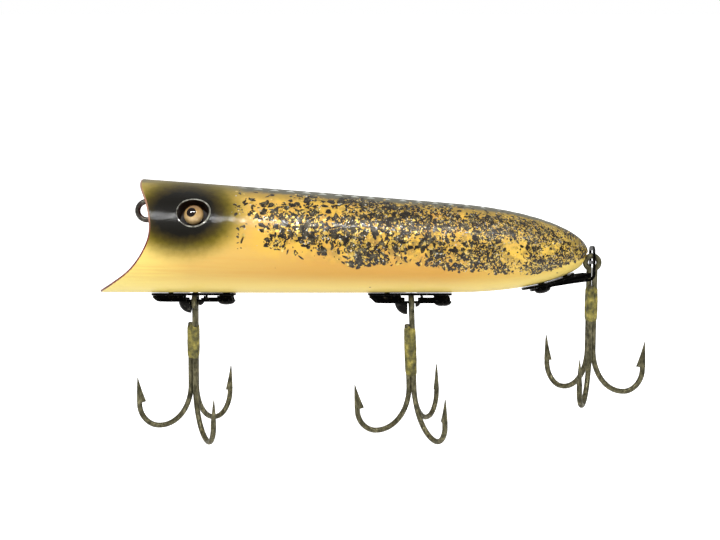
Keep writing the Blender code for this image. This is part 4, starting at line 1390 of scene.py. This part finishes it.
def hook_stations(out, shank_top, radius):
    """(point, radius, push) of one hook from its tip to the top of its shank."""
    # Depths of the tip and the bend below the pivot, then how far the bend and the point stand out and rise
    tip, bend, bend_out, point_out, rise, point_rise = 17.1, 27.46, 7.02, 3.8, 9.6, 4.5
    inward = -out * 0.95
    foot = bend - point_rise
    reach = bend_out + point_out

    def at(offset, depth, thick=radius, push=0.0):
        return out * offset + Vector((0, 0, -depth)), thick, inward * push

    stations = []
    for share in (0, 0.04, 0.1, 0.2, 0.3, 0.42, 0.55, 0.68, 0.8, 0.88, 0.94, 0.97, 1.0):
        depth = tip + 5.3 * share
        offset = reach + 0.3 * (foot - depth) / (foot - tip)
        # The barb is a sliver raised from the wire: it grows to its tip, where the cut falls back to the wire
        stations.append(at(offset, depth, 0.05 + (radius - 0.05) * share**0.75, share**1.5))
    stations.append(at(reach, tip + 5.42))
    steps = 20
    for i in range(1, steps + 1):
        angle = pi / 2 * i / steps
        stations.append(at(bend_out + point_out * cos(angle), foot + point_rise * sin(angle)))
    steps = 26
    for i in range(1, steps + 1):
        angle = pi / 2 * i / steps
        stations.append(at(bend_out * (1 - sin(angle)), bend - rise * (1 - cos(angle))))
    for share in (0.25, 0.5, 0.75, 1.0):
        stations.append(at(0, (bend - rise) + (shank_top - bend + rise) * share))
    return stations


def braze_fillet(side, out, top, bottom, radius, seed):
    """Braze metal lapped round the three shanks: swollen, uneven, and feathered out at its ends."""
    corners = (side * SHANK_PITCH, side * -SHANK_PITCH, out * sqrt(3) * SHANK_PITCH)
    centre = sum(corners, Vector()) / 3
    bm = bmesh.new()
    rings = []
    steps = 34
    for i in range(steps + 1):
        share = i / steps
        depth = top + (bottom - top) * share
        ring = []
        for k in range(36):
            angle = 2 * pi * k / 36
            away = side * cos(angle) + out * sin(angle)
            # The furthest reach of the three wires this way, with the valleys between them part filled
            reach = 0.0
            for corner in corners:
                offset = corner - centre
                ahead = offset.dot(away)
                aside = (offset - away * ahead).length
                if aside < radius + 0.28:
                    reach = max(reach, ahead + sqrt((radius + 0.28) ** 2 - aside**2) - 0.22)
            reach = max(reach, radius * 1.45)
            ends = min(1, share / 0.1, (1 - share) / 0.1)
            wobble = noise.noise(Vector((depth * 0.7, angle * 1.3, seed))) * 0.05
            grown = reach + 0.04 + (0.08 * sin(pi * share) + wobble) * ends - 0.24 * (1 - ends) ** 1.5
            end_wobble = 0.35 * noise.noise(Vector((angle * 1.1, seed, 4.0))) * (1 - min(1, ends * 1.5))
            ring.append(bm.verts.new(centre + away * grown + Vector((0, 0, -depth - end_wobble))))
        rings.append(ring)
    skin(bm, rings)
    return bm


class POPPER_OT_trebles(bpy.types.Operator):
    """Treble hooks: a pair bent from one wire with its eye, a third hook, and the braze that holds them"""

    bl_idname = "popper.trebles"
    bl_label = "Treble hooks"

    def execute(self, context):
        radius = context.scene.popper.wire / MM
        for number, (name, (azimuth, lean, sway, top, bottom)) in enumerate(TREBLES.items()):
            pivot = Vector(JOINTS[f"{name}_treble_swing"]["pos_m"]) / MM
            angle = radians(azimuth)
            side, out = compass(angle - pi / 2), compass(angle)
            tilt = Matrix.Rotation(-radians(lean), 4, "Y") @ Matrix.Rotation(radians(sway), 4, "X")
            turn = Matrix.Translation(pivot) @ tilt
            mouth = asin(SHANK_PITCH / EYE_MEAN)
            shank_top = EYE_MEAN * cos(mouth) + 0.5
            legs = []
            for way in (-1, 1):
                leg = hook_stations(compass(angle + way * radians(120)), shank_top, radius)
                legs.append(moved(leg, side * -way * SHANK_PITCH))
            ring = []
            steps = 48
            for i in range(steps + 1):
                round_ring = -pi / 2 + mouth + (2 * pi - 2 * mouth) * i / steps
                place = side * (EYE_MEAN * cos(round_ring)) + Vector((0, 0, EYE_MEAN * sin(round_ring)))
                ring.append((place, radius, Vector()))
            single = hook_stations(out, SINGLE_TOP, radius)
            for depth, share in ((4.7, 0.85), (4.62, 0.5)):
                single.append((Vector((0, 0, -depth)), radius * share, Vector()))
            single = moved(single, out * sqrt(3) * SHANK_PITCH)
            pair = wire(legs[0] + ring + legs[1][::-1], 16)
            braze = braze_fillet(side, out, top, bottom, radius, 3.1 * number)
            for part, bm, node, material, slot in (
                ("hook_pair", pair, "pair", "steel", "aged_hook_steel"),
                ("hook_single", wire(single, 16), "single", "steel", "aged_hook_steel"),
                ("braze", braze, "braze", "braze", "brass_braze"),
            ):
                replaced = [f"{name}_treble_{node}"]
                shape(f"{name}_{part}", bm, [finish(material)], f"{name}_treble", replaced, turn)
        return {"FINISHED"}


def moved(stations, by):
    """The stations, carried along by a vector."""
    return [(point + by, radius, push) for point, radius, push in stations]


# ---- stage ----


class POPPER_OT_stage(bpy.types.Operator):
    """White card, soft studio lights and the camera"""

    bl_idname = "popper.stage"
    bl_label = "Stage"

    def execute(self, context):
        scene = context.scene
        settings = scene.popper
        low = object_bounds()[0]
        floor_z = low[2] / MM - 18
        reach = 3000
        bm = bmesh.new()
        corners = [(-reach, -reach), (reach, -reach), (reach, reach), (-reach, reach)]
        bm.faces.new([bm.verts.new((x, y, floor_z)) for x, y in corners])
        floor = shape("white_card", bm, [finish("card")], None)
        floor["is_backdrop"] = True

        world = bpy.data.worlds.new("Studio")
        scene.world = world
        world.use_nodes = True
        # White behind the lure and to the camera, and dim on the camera's own side
        tree = world.node_tree
        seen = add_node(tree, "ShaderNodeLightPath", output="Is Camera Ray")
        facing = add_node(tree, "ShaderNodeTexCoord", output="Generated")
        ahead = add_node(tree, "ShaderNodeSeparateXYZ", (facing,), 1)
        dim = add_node(tree, RANGE, (ahead, -0.2, 0.6, settings.fill, 0.5), **SMOOTH)
        strength = add_node(tree, MATH, (seen, dim), operation="MAXIMUM")
        feed(tree, tree.nodes["Background"], {"Color": (1, 1, 1, 1), "Strength": strength})
        middle = Vector((0.04, 0, -0.015))
        for name, place, size, power in (
            ("overhead softbox", (0.04, 0.1, 0.75), (0.9, 0.6), 0.9),
            ("front softbox", (-0.1, -0.95, 0.3), (0.9, 0.5), 4.9),
            ("strip light", (0.03, -0.29, 0.42), (0.7, 0.007), 2.4),
        ):
            light = bpy.data.lights.new(name, "AREA")
            light.shape = "RECTANGLE"
            light.size, light.size_y = size
            light.energy = power
            lamp = bpy.data.objects.new(name, light)
            lamp.location = place
            lamp.visible_glossy = name == "strip light"
            lamp.rotation_euler = (middle - Vector(place)).to_track_quat("-Z", "Y").to_euler()
            scene.collection.objects.link(lamp)

        # The camera looks at the middle of the lure's side from 15 degrees above the level
        elevation, distance = radians(15), 221.8
        back = Vector((0, -cos(elevation), sin(elevation)))
        target = Vector((42.95, -11.98 * sin(elevation), -11.98 * cos(elevation)))
        camera = bpy.data.cameras.new("camera")
        camera.lens = 55
        camera.sensor_width = 36
        eye = bpy.data.objects.new("camera", camera)
        eye.location = (target + back * distance) * MM
        eye.rotation_euler = (-back).to_track_quat("-Z", "Y").to_euler()
        camera.clip_start = 0.01
        scene.collection.objects.link(eye)
        scene.camera = eye
        scene.view_settings.view_transform = "Standard"
        return {"FINISHED"}


OPERATORS = (
    POPPER_OT_body,
    POPPER_OT_flitter,
    POPPER_OT_eyes,
    POPPER_OT_line_tie,
    POPPER_OT_belly_hangers,
    POPPER_OT_tail_hanger,
    POPPER_OT_screws,
    POPPER_OT_trebles,
    POPPER_OT_stage,
)


class POPPER_PT_panel(bpy.types.Panel):
    """Builds the lure piece by piece"""

    bl_label = "Topwater Popper"
    bl_idname = "POPPER_PT_panel"
    bl_space_type = "VIEW_3D"
    bl_region_type = "UI"
    bl_category = "Popper"

    def draw(self, context):
        settings = context.scene.popper
        for name in PopperSettings.__annotations__:
            self.layout.prop(settings, name)
        for operator in OPERATORS:
            self.layout.operator(operator.bl_idname)


def register():
    for item in (PopperSettings, *OPERATORS, POPPER_PT_panel):
        bpy.utils.register_class(item)
    bpy.types.Scene.popper = PointerProperty(type=PopperSettings)


def unregister():
    del bpy.types.Scene.popper
    for item in reversed((PopperSettings, *OPERATORS, POPPER_PT_panel)):
        bpy.utils.unregister_class(item)


def main():
    register()
    for operator in OPERATORS:
        group, name = operator.bl_idname.split(".")
        getattr(getattr(bpy.ops, group), name)()


if __name__ == "__main__":
    main()
